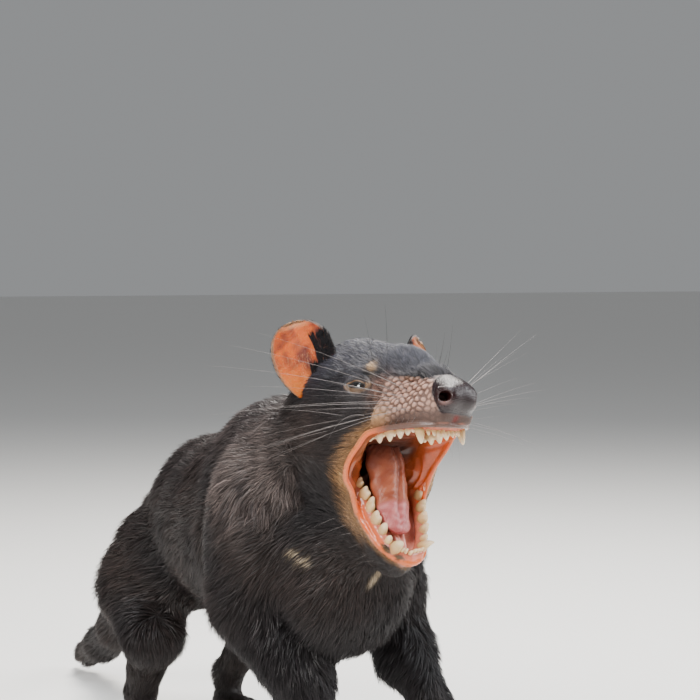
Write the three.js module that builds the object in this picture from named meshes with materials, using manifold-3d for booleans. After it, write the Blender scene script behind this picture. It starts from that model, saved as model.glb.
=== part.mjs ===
// Tasmanian devil: a life-size still model of the animal, standing with its mouth wide open.
// Millimetres. +X is the way the body faces, +Y is its left, +Z is up, and the paws stand on z = 0.
// The body is one smooth sum of ellipsoids (balls) and tapered capsules (bones). Each node is a
// piece of that sum, meshed at a step that suits it and parted from its neighbours by thin cuts.

import * as THREE from 'three';
import { mergeVertices } from 'three/addons/utils/BufferGeometryUtils.js';
import Module from 'manifold-3d';

const wasm = await Module();
wasm.setup();
const { Manifold, Mesh } = wasm;

// Driving sizes
const GAP = 0.3;
const JAW_HINGE = [95, 6, 256];
const HEAD_YAW = 10.3;
const HEAD_PITCH = 14.0;
const HEAD_ROLL = -10.0;
const GAPE = 58;
const MOUTH_ROLL = 5;
const EYE_RADIUS = 7.0;
const LID_RADIUS = 8.7;
const EAR_HEIGHT = 54;
const EAR_HALF_WIDTH = 19;
const EAR_THICKNESS = 2.4;
const LIP_RADIUS = 3.3;
const GUM_RADIUS = 3.2;
const CLAW_LENGTH = 11;
// Mesh step and slack of each region
const STEP = {
  torso: [22, 0.8], neck: [16, 0.6], thigh: [15, 0.6], shank: [10.5, 0.4], paw: [6.8, 0.38],
  head: [9, 0.5], face: [7.2, 0.5], nose: [4.8, 0.2],
};
const FINISH = 0.15;

// Small vector helpers
const rad = (degrees) => degrees * Math.PI / 180;
const add = (a, b) => [a[0] + b[0], a[1] + b[1], a[2] + b[2]];
const sub = (a, b) => [a[0] - b[0], a[1] - b[1], a[2] - b[2]];
const scale = (a, k) => [a[0] * k, a[1] * k, a[2] * k];
const dot = (a, b) => a[0] * b[0] + a[1] * b[1] + a[2] * b[2];
const cross = (a, b) => [a[1] * b[2] - a[2] * b[1], a[2] * b[0] - a[0] * b[2], a[0] * b[1] - a[1] * b[0]];
const unit = (a) => scale(a, 1 / Math.hypot(...a));
const mix = (a, b, t) => add(scale(a, 1 - t), scale(b, t));
const both = (make) => [make(1), make(-1)];

// The head's frame: x along the palate to the nose, y to its left, z up, origin between the jaw hinges
const turn = new THREE.Matrix4().makeRotationZ(rad(HEAD_YAW))
  .multiply(new THREE.Matrix4().makeRotationY(rad(-HEAD_PITCH)))
  .multiply(new THREE.Matrix4().makeRotationX(rad(HEAD_ROLL)));
const axis = (column) => [0, 1, 2].map((row) => turn.elements[4 * column + row]);
const HEAD_X = axis(0);
const HEAD_Y = axis(1);
const HEAD_Z = axis(2);

function head(p) {
  return add(JAW_HINGE, add(scale(HEAD_X, p[0]), add(scale(HEAD_Y, p[1]), scale(HEAD_Z, p[2]))));
}

function headTurn(v) {
  return sub(head(v), JAW_HINGE);
}

function toHead(p) {
  const q = sub(p, JAW_HINGE);
  return [dot(q, HEAD_X), dot(q, HEAD_Y), dot(q, HEAD_Z)];
}

// The lower jaw's frame is the head's, swung down about the hinge line by the gape
const COS_GAPE = Math.cos(rad(GAPE));
const SIN_GAPE = Math.sin(rad(GAPE));

function jaw(p) {
  return [p[0] * COS_GAPE + p[2] * SIN_GAPE, p[1], p[2] * COS_GAPE - p[0] * SIN_GAPE];
}

function toJaw(p) {
  return [p[0] * COS_GAPE - p[2] * SIN_GAPE, p[1], p[0] * SIN_GAPE + p[2] * COS_GAPE];
}

// The mouth and all in it are rolled a little about the head's x
function mouth(p) {
  const c = Math.cos(rad(MOUTH_ROLL));
  const s = Math.sin(rad(MOUTH_ROLL));
  return head([p[0], c * p[1] - s * p[2], s * p[1] + c * p[2]]);
}

// A point between the jaws: distance from the hinge line and angle below the palate
function between(reach, angle, side) {
  return [reach * Math.cos(rad(angle)), side, -reach * Math.sin(rad(angle))];
}

// Forms of the body and how they blend
function ball(at, size, blend) {
  const measure = (p) => {
    const q = [(p[0] - at[0]) / size[0], (p[1] - at[1]) / size[1], (p[2] - at[2]) / size[2]];
    const near = Math.hypot(...q);
    const slope = Math.hypot(q[0] / size[0], q[1] / size[1], q[2] / size[2]);
    return slope < 1e-9 ? -Math.min(...size) : near * (near - 1) / slope;
  };
  return { blend, measure };
}

function bone(from, to, startRadius, endRadius, blend) {
  const along = sub(to, from);
  const measure = (p) => {
    const q = sub(p, from);
    const t = Math.min(1, Math.max(0, dot(q, along) / dot(along, along)));
    return Math.hypot(...sub(q, scale(along, t))) - (startRadius + (endRadius - startRadius) * t);
  };
  return { blend, measure };
}

function join(a, b, blend) {
  const overlap = Math.max(blend - Math.abs(a - b), 0) / blend;
  return Math.min(a, b) - overlap * overlap * blend / 4;
}

function sum(forms, p) {
  let value = forms[0].measure(p);
  for (let i = 1; i < forms.length; i += 1) {
    value = join(value, forms[i].measure(p), forms[i].blend);
  }
  return value;
}

// Trunk and neck
const TRUNK = [
  ball([-38, 0, 190], [112, 64, 78], 0),
  ball([-20, 0, 237], [82, 48, 52], 20),
  ball([-135, 0, 184], [104, 58, 70], 30),
  ball([-214, 0, 152], [68, 52, 50], 30),
  ball([62, 2, 170], [42, 48, 56], 24),
  ...both((s) => ball([22, s * 50, 182], [46, 27, 66], 20)),
  ...both((s) => ball([-210, s * 42, 134], [52, 29, 50], 22)),
];
const NECK = [
  bone([25, 0, 222], [76, 5, 262], 60, 50, 0),
  bone([62, 2, 190], [98, 6, 224], 46, 36, 24),
];
const TAIL = [
  // point along the middle, radius with its hair
  [-250, 0, 171, 34], [-284, 0, 149, 31.5], [-316, 0, 124, 27], [-356, -1, 91, 24.5], [-398, -3, 60, 22.5],
  [-440, -5, 37, 19.5], [-478, -7, 22, 15], [-506, -8, 13, 8],
];

// Legs: upper bone, lower bone, and the paw set down at a point with its own turn
const LEGS = {
  foreleg_right: {
    top: [30, -52, 150], joint: [58, -28, 106], low: [88, -17, 34],
    radii: [30, 22, 20, 13], foot: [88, -17], turn: -4, hind: false, side: -1,
  },
  foreleg_left: {
    top: [34, 50, 150], joint: [50, 59, 108], low: [100, 82, 34],
    radii: [30, 20, 16, 12], foot: [100, 82], turn: 8, hind: false, side: 1,
  },
  hindleg_right: {
    top: [-215, -46, 122], joint: [-170, -54, 92], low: [-212, -49, 40],
    radii: [38, 26, 23, 13], foot: [-212, -49], turn: -6, hind: true, side: -1,
  },
  hindleg_left: {
    top: [-224, 46, 122], joint: [-202, 55, 92], low: [-258, 46, 40],
    radii: [38, 26, 23, 13], foot: [-258, 46], turn: 6, hind: true, side: 1,
  },
};

function onFoot(leg, p) {
  const c = Math.cos(rad(leg.turn));
  const s = Math.sin(rad(leg.turn));
  return [leg.foot[0] + p[0] * c - p[1] * s, leg.foot[1] + p[0] * s + p[1] * c, p[2]];
}

// Four toes point forward; a forepaw has a fifth, set lower on its inner side
function toes(leg) {
  const start = leg.hind ? 40 : 17;
  const list = [-1.5, -0.5, 0.5, 1.5].map((k) => ({
    root: [start, k * 8.6, 10],
    tip: [start + 17 - k * k * 2.2, k * 10.4, 5.6],
    radius: 6.1,
  }));
  if (!leg.hind) {
    list.push({ root: [6, -leg.side * 12, 10], tip: [19, -leg.side * 20, 5], radius: 5.2 });
  }
  return list;
}

function legForms(leg) {
  const on = (x, y, z) => onFoot(leg, [x, y, z]);
  const [r0, r1, r2, r3] = leg.radii;
  const forms = [
    bone(leg.top, leg.joint, r0, r1, 0),
    bone(leg.joint, leg.low, r2, r3, 10),
  ];
  if (leg.hind) {
    forms.push(bone(leg.low, on(-3, 0, 13), 13, 13, 8));
    forms.push(bone(on(-3, 0, 11.6), on(20, 0, 11), 12, 12.5, 8));
    forms.push(ball(on(34, 0, 11), [18, 17, 11.6], 8));
  } else {
    forms.push(bone(leg.low, on(4, 0, 14), 13, 12, 8));
    forms.push(ball(on(11, 0, 10.6), [18, 16.5, 11.2], 8));
  }
  for (const toe of toes(leg)) {
    forms.push(bone(onFoot(leg, toe.root), onFoot(leg, toe.tip), toe.radius + 0.8, toe.radius, 3));
  }
  return forms;
}
const LEG_FORMS = Object.values(LEGS).map(legForms);
const pawName = (leg) => `${leg.hind ? 'hindpaw' : 'forepaw'}_${leg.side > 0 ? 'left' : 'right'}`;

// Skull, muzzle, cheeks and brows in the head's frame; chin and lower lips in the jaw's
const SKULL = [
  ball([0, 0, 32], [44, 43, 50], 0),
  ball([30, 0, 38], [42, 34, 34.5], 14),
  ...both((s) => ball([14, s * 28, 10], [34, 17, 30], 12)),
  ...both((s) => ball(between(14, 40, s * 27), [27, 14, 27], 10)),
  bone([44, 0, 27], [92, 0, 20], 27, 17.5, 12),
  ...both((s) => bone([46, s * 22, 12.5], [86, s * 13.5, 13], 12, 10, 8)),
  ...both((s) => bone([30, s * 26, 47], [46, s * 19, 45], 8, 6, 8)),
  ball([103, 0, 20], [12.5, 13.5, 12], 4),
];
const JAW = [
  bone([14, 0, -14], [72, 0, -13], 25, 15, 0),
  ...both((s) => bone([34, s * 19, -9], [76, s * 10, -10], 11, 9, 8)),
  ball([82, 0, -12], [13, 13, 10], 8),
];

function mass(p) {
  const h = toHead(p);
  let value = sum(TRUNK, p);
  value = join(value, sum(NECK, p), 26);
  for (const forms of LEG_FORMS) {
    value = join(value, sum(forms, p), 14);
  }
  const skull = join(sum(SKULL, h), sum(JAW, toJaw(h)), 10);
  return join(value, skull, 20);
}

// Closed mesh of the level set of a field inside a box: one vertex for each grid cell that the
// surface crosses, slid onto the surface, and one quad for each grid edge that it crosses
function net(field, low, high, [step, slack]) {
  const count = low.map((v, i) => Math.ceil((high[i] - v) / step) + 2);
  const [nx, ny, nz] = count;
  const at = (i, j, k) => (i * ny + j) * nz + k;
  const where = (...cell) => cell.map((n, i) => low[i] + (n - 0.5) * step);
  const values = new Float64Array(nx * ny * nz).fill(step);
  for (let i = 1; i < nx - 1; i += 1) {
    for (let j = 1; j < ny - 1; j += 1) {
      for (let k = 1; k < nz - 1; k += 1) {
        values[at(i, j, k)] = field(where(i, j, k));
      }
    }
  }
  const corners = [0, 1, 2, 3, 4, 5, 6, 7].map((n) => [n & 1, (n >> 1) & 1, (n >> 2) & 1]);
  const edges = [];
  for (let a = 0; a < 8; a += 1) {
    for (const bit of [1, 2, 4]) {
      if (!(a & bit)) edges.push([a, a | bit]);
    }
  }
  const points = [];
  const cells = new Map();
  for (let i = 0; i < nx - 1; i += 1) {
    for (let j = 0; j < ny - 1; j += 1) {
      for (let k = 0; k < nz - 1; k += 1) {
        const v = corners.map((c) => values[at(i + c[0], j + c[1], k + c[2])]);
        if (v.every((x) => x < 0) || v.every((x) => x >= 0)) continue;
        let total = [0, 0, 0];
        let crossed = 0;
        for (const [a, b] of edges) {
          if ((v[a] < 0) === (v[b] < 0)) continue;
          total = add(total, mix(corners[a], corners[b], v[a] / (v[a] - v[b])));
          crossed += 1;
        }
        const mean = scale(total, 1 / crossed);
        cells.set(at(i, j, k), points.length);
        points.push(settle(field, add(where(i, j, k), scale(mean, step)), step));
      }
    }
  }
  const faces = [];
  const quad = (a, b, c, d, flip) => {
    const ring = [a, b, c, d].map((key) => cells.get(key));
    const [p, q, r, s] = flip ? ring.reverse() : ring;
    faces.push(p, q, r, p, r, s);
  };
  for (let i = 0; i < nx - 1; i += 1) {
    for (let j = 0; j < ny - 1; j += 1) {
      for (let k = 0; k < nz - 1; k += 1) {
        const inside = values[at(i, j, k)] < 0;
        if (j > 0 && k > 0 && inside !== (values[at(i + 1, j, k)] < 0)) {
          quad(at(i, j - 1, k - 1), at(i, j, k - 1), at(i, j, k), at(i, j - 1, k), !inside);
        }
        if (i > 0 && k > 0 && inside !== (values[at(i, j + 1, k)] < 0)) {
          quad(at(i - 1, j, k - 1), at(i - 1, j, k), at(i, j, k), at(i, j, k - 1), !inside);
        }
        if (i > 0 && j > 0 && inside !== (values[at(i, j, k + 1)] < 0)) {
          quad(at(i - 1, j - 1, k), at(i, j - 1, k), at(i, j, k), at(i - 1, j, k), !inside);
        }
      }
    }
  }
  return solid(points, faces).simplify(slack);
}

// Slide a point along the field's slope until it lies on the surface
function settle(field, start, step) {
  let p = start;
  for (let turnCount = 0; turnCount < 3; turnCount += 1) {
    const v = field(p);
    const slope = [0, 1, 2].map((i) => {
      const q = [...p];
      q[i] += 0.05;
      return (field(q) - v) / 0.05;
    });
    const steep = dot(slope, slope);
    if (Math.abs(v) > step || steep < 0.05) return p;
    p = sub(p, scale(slope, v / steep));
  }
  return p;
}

function solid(points, faces) {
  let volume = 0;
  for (let i = 0; i < faces.length; i += 3) {
    volume += dot(points[faces[i]], cross(points[faces[i + 1]], points[faces[i + 2]]));
  }
  const triVerts = Uint32Array.from(faces);
  if (volume < 0) triVerts.reverse();
  const mesh = new Mesh({ numProp: 3, vertProperties: Float32Array.from(points.flat()), triVerts });
  mesh.merge();
  return new Manifold(mesh);
}

// Closed mesh through a row of rings, with a fan over each end, or round on itself as a hoop
function loft(rings, hoop = false) {
  const sides = rings[0].length;
  const points = rings.flat();
  const faces = [];
  const last = hoop ? rings.length : rings.length - 1;
  for (let r = 0; r < last; r += 1) {
    const next = (r + 1) % rings.length;
    for (let s = 0; s < sides; s += 1) {
      const t = (s + 1) % sides;
      const [a, b, c, d] = [r * sides + s, r * sides + t, next * sides + t, next * sides + s];
      faces.push(a, b, c, a, c, d);
    }
  }
  if (!hoop) {
    for (const [ring, start] of [[rings[0], 0], [rings[rings.length - 1], (rings.length - 1) * sides]]) {
      const centre = points.length;
      points.push(scale(ring.reduce(add), 1 / sides));
      for (let s = 0; s < sides; s += 1) {
        const t = (s + 1) % sides;
        if (start === 0) faces.push(centre, t, s);
        else faces.push(centre, start + s, start + t);
      }
    }
  }
  return solid(points, faces);
}

// Closed thin shell between two grids of points that face each other
function shell(front, rear) {
  const rows = front.length;
  const across = front[0].length;
  const points = [...front.flat(), ...rear.flat()];
  const other = rows * across;
  const faces = [];
  const quad = (a, b, c, d) => faces.push(a, b, c, a, c, d);
  for (let r = 0; r < rows - 1; r += 1) {
    for (let c = 0; c < across - 1; c += 1) {
      const at = r * across + c;
      quad(at, at + 1, at + 1 + across, at + across);
      quad(other + at, other + at + across, other + at + 1 + across, other + at + 1);
    }
  }
  const rim = [];
  for (let c = 0; c < across; c += 1) rim.push(c);
  for (let r = 1; r < rows; r += 1) rim.push(r * across + across - 1);
  for (let c = across - 2; c >= 0; c -= 1) rim.push((rows - 1) * across + c);
  for (let r = rows - 2; r > 0; r -= 1) rim.push(r * across);
  rim.forEach((a, i) => {
    const b = rim[(i + 1) % rim.length];
    quad(b, a, other + a, other + b);
  });
  return solid(points, faces);
}

// Ring of points round a centre with two half-axes
function ring(centre, u, v, sides) {
  return Array.from({ length: sides }, (_, i) => {
    const t = 2 * Math.PI * i / sides;
    return add(centre, add(scale(u, Math.cos(t)), scale(v, Math.sin(t))));
  });
}

// Three.js solids brought in as closed meshes
function fromGeometry(geometry) {
  const bare = geometry.clone();
  bare.deleteAttribute('normal');
  bare.deleteAttribute('uv');
  const merged = mergeVertices(bare, 1e-4);
  const at = merged.getAttribute('position');
  const points = Array.from({ length: at.count }, (_, i) => [at.getX(i), at.getY(i), at.getZ(i)]);
  const index = Array.from(merged.index.array);
  const faces = [];
  for (let i = 0; i < index.length; i += 3) {
    const [a, b, c] = index.slice(i, i + 3);
    if (a !== b && b !== c && c !== a) faces.push(a, b, c);
  }
  return solid(points, faces);
}

// Ellipsoid from a sphere, in a frame given by three axes
function egg(centre, half, axes = [[1, 0, 0], [0, 1, 0], [0, 0, 1]], around = 20, down = 12) {
  const geometry = new THREE.SphereGeometry(1, around, down);
  const [x, y, z] = axes.map((a, i) => scale(a, half[i]));
  const matrix = new THREE.Matrix4().makeBasis(
    new THREE.Vector3(...x), new THREE.Vector3(...y), new THREE.Vector3(...z));
  matrix.setPosition(...centre);
  geometry.applyMatrix4(matrix);
  return fromGeometry(geometry);
}

function block(low, high) {
  const geometry = new THREE.BoxGeometry(...sub(high, low));
  geometry.translate(...scale(add(low, high), 0.5));
  return fromGeometry(geometry);
}

// Keep the part of a solid on the side of a plane that the normal points to, half a gap back
function keep(body, normal, point) {
  const n = unit(normal);
  return body.trimByPlane(n, dot(n, point) + GAP / 2);
}

function largest(body) {
  const pieces = body.decompose();
  return pieces.reduce((a, b) => (a.volume() > b.volume() ? a : b));
}

// Cut planes of the trunk and neck
const NECK_BASE = { normal: [0.8, 0, 0.6], point: [67, 2, 238] };
const NAPE = { normal: headTurn([1, 0, -0.1]), point: head([-16, 0, 0]) };
const CHEST_END = -66;
const BELLY_END = -136;
const FORE_JOINT = 104;
const HIND_JOINT = 98;
const WRIST = 30;
const HOCK = 31;
const nodes = {};

// Upper legs are parted from the trunk by an egg-shaped cut round the shoulder or thigh
const SHOULDER = { at: [30, 66, 146], half: [56, 40, 66] };
const THIGH = { at: [-206, 66, 134], half: [58, 40, 58] };

function legCut(leg, grow) {
  const form = leg.hind ? THIGH : SHOULDER;
  const at = [form.at[0], leg.side * form.at[1], form.at[2]];
  return egg(at, form.half.map((v) => v + grow), undefined, 12, 8);
}

const torso = net(mass, [-310, -92, 84], [124, 92, 312], STEP.torso);
let trunk = torso;
for (const leg of Object.values(LEGS)) {
  trunk = trunk.subtract(legCut(leg, GAP));
}
const flip = (v) => scale(v, -1);
const chest = keep(keep(trunk, flip(NECK_BASE.normal), NECK_BASE.point), [1, 0, 0], [CHEST_END, 0, 0]);
nodes.chest = keep(chest, [0, 0, 1], [0, 0, FORE_JOINT]);
const belly = keep(keep(trunk, [-1, 0, 0], [CHEST_END, 0, 0]), [1, 0, 0], [BELLY_END, 0, 0]);
nodes.belly = keep(belly, [0, 0, 1], [0, 0, HIND_JOINT]);
nodes.rump = keep(keep(trunk, [-1, 0, 0], [BELLY_END, 0, 0]), [0, 0, 1], [0, 0, HIND_JOINT]);

for (const [name, leg] of Object.entries(LEGS)) {
  const joint = leg.hind ? HIND_JOINT : FORE_JOINT;
  const ankle = leg.hind ? HOCK : WRIST;
  const [x, y] = leg.foot;
  const side = leg.side;
  const [back, front] = leg.hind ? [-300, -110] : [-30, 175];
  const inner = side * -22;
  const outer = side * 150;
  const lowY = Math.min(inner, outer);
  const highY = Math.max(inner, outer);
  const bulk = net(mass, [back, lowY, joint - 14], [front, highY, 250], STEP.thigh);
  nodes[`${name}_upper`] = keep(bulk.intersect(legCut(leg, 0)), [0, 0, 1], [0, 0, joint]);
  const shank = net(mass, [back, lowY, ankle - 8], [front, highY, joint + 8], STEP.shank);
  nodes[`${name}_lower`] = keep(keep(shank, [0, 0, -1], [0, 0, joint]), [0, 0, 1], [0, 0, ankle]);
  const pawLow = [x - 34, y - 40, -4];
  const pawHigh = [x + 76, y + 40, ankle + 6];
  const paw = keep(net(mass, pawLow, pawHigh, STEP.paw), [0, 0, -1], [0, 0, ankle]);
  nodes[pawName(leg)] = paw.trimByPlane([0, 0, 1], 0);
}

// Tail in three lengths, from a tapering tube whose root is sunk into the rump
const tailCurve = new THREE.CatmullRomCurve3(TAIL.map((p) => new THREE.Vector3(p[0], p[1], p[2])));

function tailTube(grow) {
  const steps = 14;
  return loft(Array.from({ length: steps + 1 }, (_, i) => {
    const t = i / steps;
    const k = Math.min(TAIL.length - 2, Math.floor(t * (TAIL.length - 1)));
    const radius = grow + THREE.MathUtils.lerp(TAIL[k][3], TAIL[k + 1][3], t * (TAIL.length - 1) - k);
    const along = tailCurve.getTangent(t).toArray();
    const wide = unit(cross([0, 0, 1], along));
    const centre = add(tailCurve.getPoint(t).toArray(), scale(along, i === 0 ? -grow : 0));
    return ring(centre, scale(wide, radius), scale(cross(along, wide), radius), 12);
  }));
}
nodes.rump = nodes.rump.subtract(tailTube(GAP));
const tail = tailTube(0).trimByPlane([0, 0, 1], 0);
const tailCuts = [
  { normal: [-0.78, 0, -0.62], point: [-356, -1, 91] },
  { normal: [-0.88, 0, -0.47], point: [-440, -5, 37] },
];
nodes.tail_base = keep(tail, flip(tailCuts[0].normal), tailCuts[0].point);
const tailRear = keep(tail, tailCuts[0].normal, tailCuts[0].point);
nodes.tail_middle = keep(tailRear, flip(tailCuts[1].normal), tailCuts[1].point);
nodes.tail_tip = keep(tailRear, tailCuts[1].normal, tailCuts[1].point);

// Neck
const neck = net(mass, [-10, -80, 150], [150, 80, 330], STEP.neck);
nodes.neck = keep(keep(neck, NECK_BASE.normal, NECK_BASE.point), flip(NAPE.normal), NAPE.point);

// Line of the mouth from the middle of the upper lip to the middle of the lower one: along, half
// width, up, and how far the middle lies to the left of the head's
const UPPER_LIP = [
  [101, 0, 1.5, 0], [98, 11.5, 2, 0], [90, 19.5, 3.2, 0], [78, 24.5, 4.4, 0.5], [64, 30, 5, 1.5],
  [52, 35, 3.5, 1.5],
];
const MOUTH_CORNER = [
  [...between(46, 5, 36), -1.5], [...between(41, 15, 36), -3.8], [...between(38.5, 26, 35), -4.8],
  [...between(38.5, 37, 33), -4.6], [...between(43, 46.5, 29.5), -3.2],
];
const LOWER_LIP = [
  [50, 26.2, -3, 0.8], [63, 22.6, -4.5, 0], [76, 18.6, -5.5, 0], [86, 11.3, -5.5, 0], [91, 0, -5.5, 0],
];
const onSide = (s) => ([x, y, z, shift]) => [x, s * y + shift, z];

function lipHalf(s) {
  const upper = [...UPPER_LIP, ...MOUTH_CORNER].map(onSide(s));
  return [...upper, ...LOWER_LIP.map(onSide(s)).map(jaw)];
}
const lipPoints = [...lipHalf(-1), ...lipHalf(1).slice(1, -1).reverse()];
const lipVectors = lipPoints.map((p) => new THREE.Vector3(...p));
const lipCurve = new THREE.CatmullRomCurve3(lipVectors, true, 'centripetal');
const lipLoop = (n) => lipCurve.getSpacedPoints(n).slice(0, n).map((v) => v.toArray());

// Mouth cavity: the lip line drawn in to the throat, arched over the tongue
const THROAT = between(15, 29, 0);
const MOUTH_MIDDLE = between(56, 29, 0);
const PALATE_ARCH = 12;
const FLOOR_ARCH = 7;

function mouthCavity(size, start = -0.16) {
  const loop = lipLoop(20);
  const rings = [start, ...(start < 0 ? [0] : []), 0.2, 0.5, 0.86].map((s) => loop.map((p) => {
    const angle = Math.atan2(-p[2], p[0]) * 180 / Math.PI;
    const rise = THREE.MathUtils.clamp((29 - angle) / 22, -1, 1);
    const arch = (rise > 0 ? PALATE_ARCH : FLOOR_ARCH) * Math.sin(Math.PI * Math.max(0, s)) * rise;
    const away = rise > 0 ? [0, 0, arch] : jaw([0, 0, arch]);
    const q = add(add(THROAT, scale(sub(p, THROAT), 1 - s)), away);
    return add(MOUTH_MIDDLE, scale(sub(q, MOUTH_MIDDLE), size));
  }));
  const ahead = rings[0].map((p) => add(p, between(start < 0 ? 45 : 1, 29, 0)));
  return loft([ahead, ...rings].map((row) => row.map(mouth)));
}

// Lip rim: a round tube along the line of the mouth
function lipRim(grow) {
  const loop = lipLoop(30);
  const rings = loop.map((p, i) => {
    const along = unit(sub(loop[(i + 1) % 30], loop[(i + 29) % 30]));
    const out = unit(sub(p, between(50, 29, 0)));
    const u = unit(sub(out, scale(along, dot(out, along))));
    const r = LIP_RADIUS + grow;
    return ring(p, scale(u, r), scale(cross(along, u), r), 5).map(mouth);
  });
  return loft(rings, true);
}

// Gum ridges, from the middle of the front to the back: along, half width, up, shift to the left
const UPPER_GUM = [
  [92, 0, 1, 0], [91, 9, 1, 0], [86, 16, 1.4, 0], [77, 18, 3.2, 0], [66, 19, 5.2, 0], [54, 20.5, 6.2, 0],
  [43, 21, 5.8, 0], [38, 21, 5, 0],
];
const LOWER_GUM = [
  [84, 0, -1.5, 0.1], [83, 5, -1.5, 0.2], [79.5, 10.8, -1.5, 0.4], [71, 14.3, -1, 0.8],
  [60, 18, -0.5, 1.4], [46, 21.5, 0.5, 2.2], [33, 23.5, 2, 2.9], [25, 24, 3.5, 3.4],
];
// Teeth of one side: place along the ridge, height, half length, half width, lean outward
const UPPER_ROW = [
  [0.03, 4.2, 1.5, 1.3, 0.6], [0.08, 4.4, 1.5, 1.3, 0.6], [0.13, 4.2, 1.5, 1.3, 0.6],
  [0.18, 3.8, 1.5, 1.3, 0.6], [0.263, 6.6, 3.0, 2.7, 0.8], [0.345, 2.6, 1.9, 1.6, 0.2],
  [0.42, 3.8, 2.3, 1.8, 0.2], [0.53, 5.6, 3.1, 2.3, 0.2], [0.675, 7.4, 3.7, 2.6, 0.2],
  [0.81, 7.4, 3.6, 2.7, 0.2], [0.93, 5.4, 3.0, 2.4, 0.2],
];
const LOWER_ROW = [
  [0.03, 3.6, 1.4, 1.2, 1.6], [0.075, 3.8, 1.4, 1.2, 1.6], [0.115, 3.6, 1.4, 1.2, 1.6],
  [0.175, 8.6, 2.9, 2.6, 4.6], [0.27, 3.6, 2.1, 1.8, 0.4], [0.38, 4.6, 2.5, 2.0, 0.4],
  [0.51, 5.6, 3.4, 2.3, 0.4], [0.65, 5.8, 3.6, 2.4, 0.4], [0.79, 6.0, 3.6, 2.4, 0.4],
  [0.91, 5.4, 3.0, 2.2, 0.4],
];

function ridgeCurve(points, place) {
  const left = points.slice(1).reverse().map(onSide(1));
  const right = points.map(onSide(-1));
  const row = [...left, ...right].map((p) => new THREE.Vector3(...place(p)));
  return new THREE.CatmullRomCurve3(row, false, 'centripetal');
}

function gumRidge(points, place, rise, grow) {
  const curve = ridgeCurve(points, place);
  const count = 12;
  const rings = Array.from({ length: count + 1 }, (_, i) => {
    const p = curve.getPointAt(i / count).toArray();
    const along = curve.getTangentAt(i / count).toArray();
    const up = unit(place(rise).map((v, k) => v - place([0, 0, 0])[k]));
    const sideways = unit(cross(along, up));
    const r = GUM_RADIUS + grow;
    return ring(p, scale(sideways, r), scale(up, r), 5).map(mouth);
  });
  return loft(rings);
}

function tooth(base, up, along, outward, [, height, long, wide, lean]) {
  const across = unit(cross(along, up));
  const rows = [[-2.5, 1], ...(height > 5 ? [[height * 0.6, 0.85]] : []), [height, 0.14]];
  const rings = rows.map(([h, w]) => {
    const bend = scale(outward, lean * Math.max(0, h) / height);
    const centre = add(add(base, scale(up, h)), bend);
    return ring(centre, scale(along, long * w), scale(across, wide * w), height > 6.5 ? 5 : 4).map(mouth);
  });
  return loft(rings);
}

function teeth(points, place, rise, rows) {
  const curve = ridgeCurve(points, place);
  const up = unit(sub(place(rise), place([0, 0, 0])));
  let body = gumRidge(points, place, rise, 0);
  for (const row of rows) {
    for (const side of [1, -1]) {
      const at = 0.5 + side * row[0] / 2;
      const along = scale(curve.getTangentAt(at).toArray(), side);
      const root = curve.getPointAt(at).toArray();
      const outward = unit(sub(root, place([60, 0, points[0][2]])));
      body = body.add(tooth(add(root, scale(up, GUM_RADIUS * 0.75)), up, along, outward, row));
    }
  }
  return body.intersect(mouthRoom).subtract(lipRoom);
}
const same = (p) => p;

// Head without its mouth, then the mouth's lining, gums, lips and tongue
const lipTube = lipRim(0);
const lipRoom = lipRim(GAP);
const cavity = mouthCavity(1);
const mouthRoom = mouthCavity(0.94);
const carve = (body) => body.subtract(cavity).subtract(lipRoom);
const skullMass = net(mass, [40, -85, 120], [225, 100, 360], STEP.head);
const aheadOfChest = keep(skullMass, NECK_BASE.normal, NECK_BASE.point);
const wholeHead = carve(keep(aheadOfChest, NAPE.normal, NAPE.point));

// Cuts through the hinge line part the jaw and cheeks from the skull
const hingeCut = (angle) => headTurn([-Math.sin(rad(angle)), 0, -Math.cos(rad(angle))]);
const middle = headTurn(between(1, 29, 0));
const faceFront = { normal: headTurn([1, 0, 0.12]), point: head([47, 0, 0]) };
const noseCut = { normal: headTurn([0.94, 0, 0.34]), point: head([102, 0, 19]) };
const JAW_ANGLE = 46;
const CHEEK_ANGLE = 13;
nodes.lower_jaw = keep(wholeHead, hingeCut(JAW_ANGLE), JAW_HINGE);
const upperHead = keep(wholeHead, flip(hingeCut(JAW_ANGLE)), JAW_HINGE);
const cheekStart = add(JAW_HINGE, scale(middle, 12));
const cheeks = keep(keep(upperHead, hingeCut(CHEEK_ANGLE), JAW_HINGE), middle, cheekStart);
nodes.cheek_left = keep(cheeks, headTurn([0, 1, 0]), JAW_HINGE);
nodes.cheek_right = keep(cheeks, headTurn([0, -1, 0]), JAW_HINGE);
const top = keep(upperHead, flip(hingeCut(CHEEK_ANGLE)), JAW_HINGE);
const back = keep(keep(upperHead, hingeCut(CHEEK_ANGLE), JAW_HINGE), flip(middle), cheekStart);
const faceMass = keep(carve(net(mass, [110, -60, 180], [225, 90, 330], STEP.face)),
  flip(hingeCut(CHEEK_ANGLE)), JAW_HINGE);
const faceOnly = keep(faceMass, faceFront.normal, faceFront.point);
nodes.muzzle = keep(faceOnly, flip(noseCut.normal), noseCut.point);
nodes.head = keep(top, flip(faceFront.normal), faceFront.point).add(back);

// Whisker pads: the skin on each side of the muzzle, with its longest whiskers rooted in it
const PAD = { at: [70, 28, 19.5], half: [18, 11, 11.5] };
const WHISKER_ROWS = 3;
const WHISKERS_IN_ROW = 3;
const WHISKER_LENGTH = 124;
const WHISKER_RADIUS = 0.5;
// How far the top row leans back and up on each side; the lower rows lean down from it
const WHISKER_LEAN = { left: [-0.25, 0.62], right: [-0.62, 0.34] };

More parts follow.
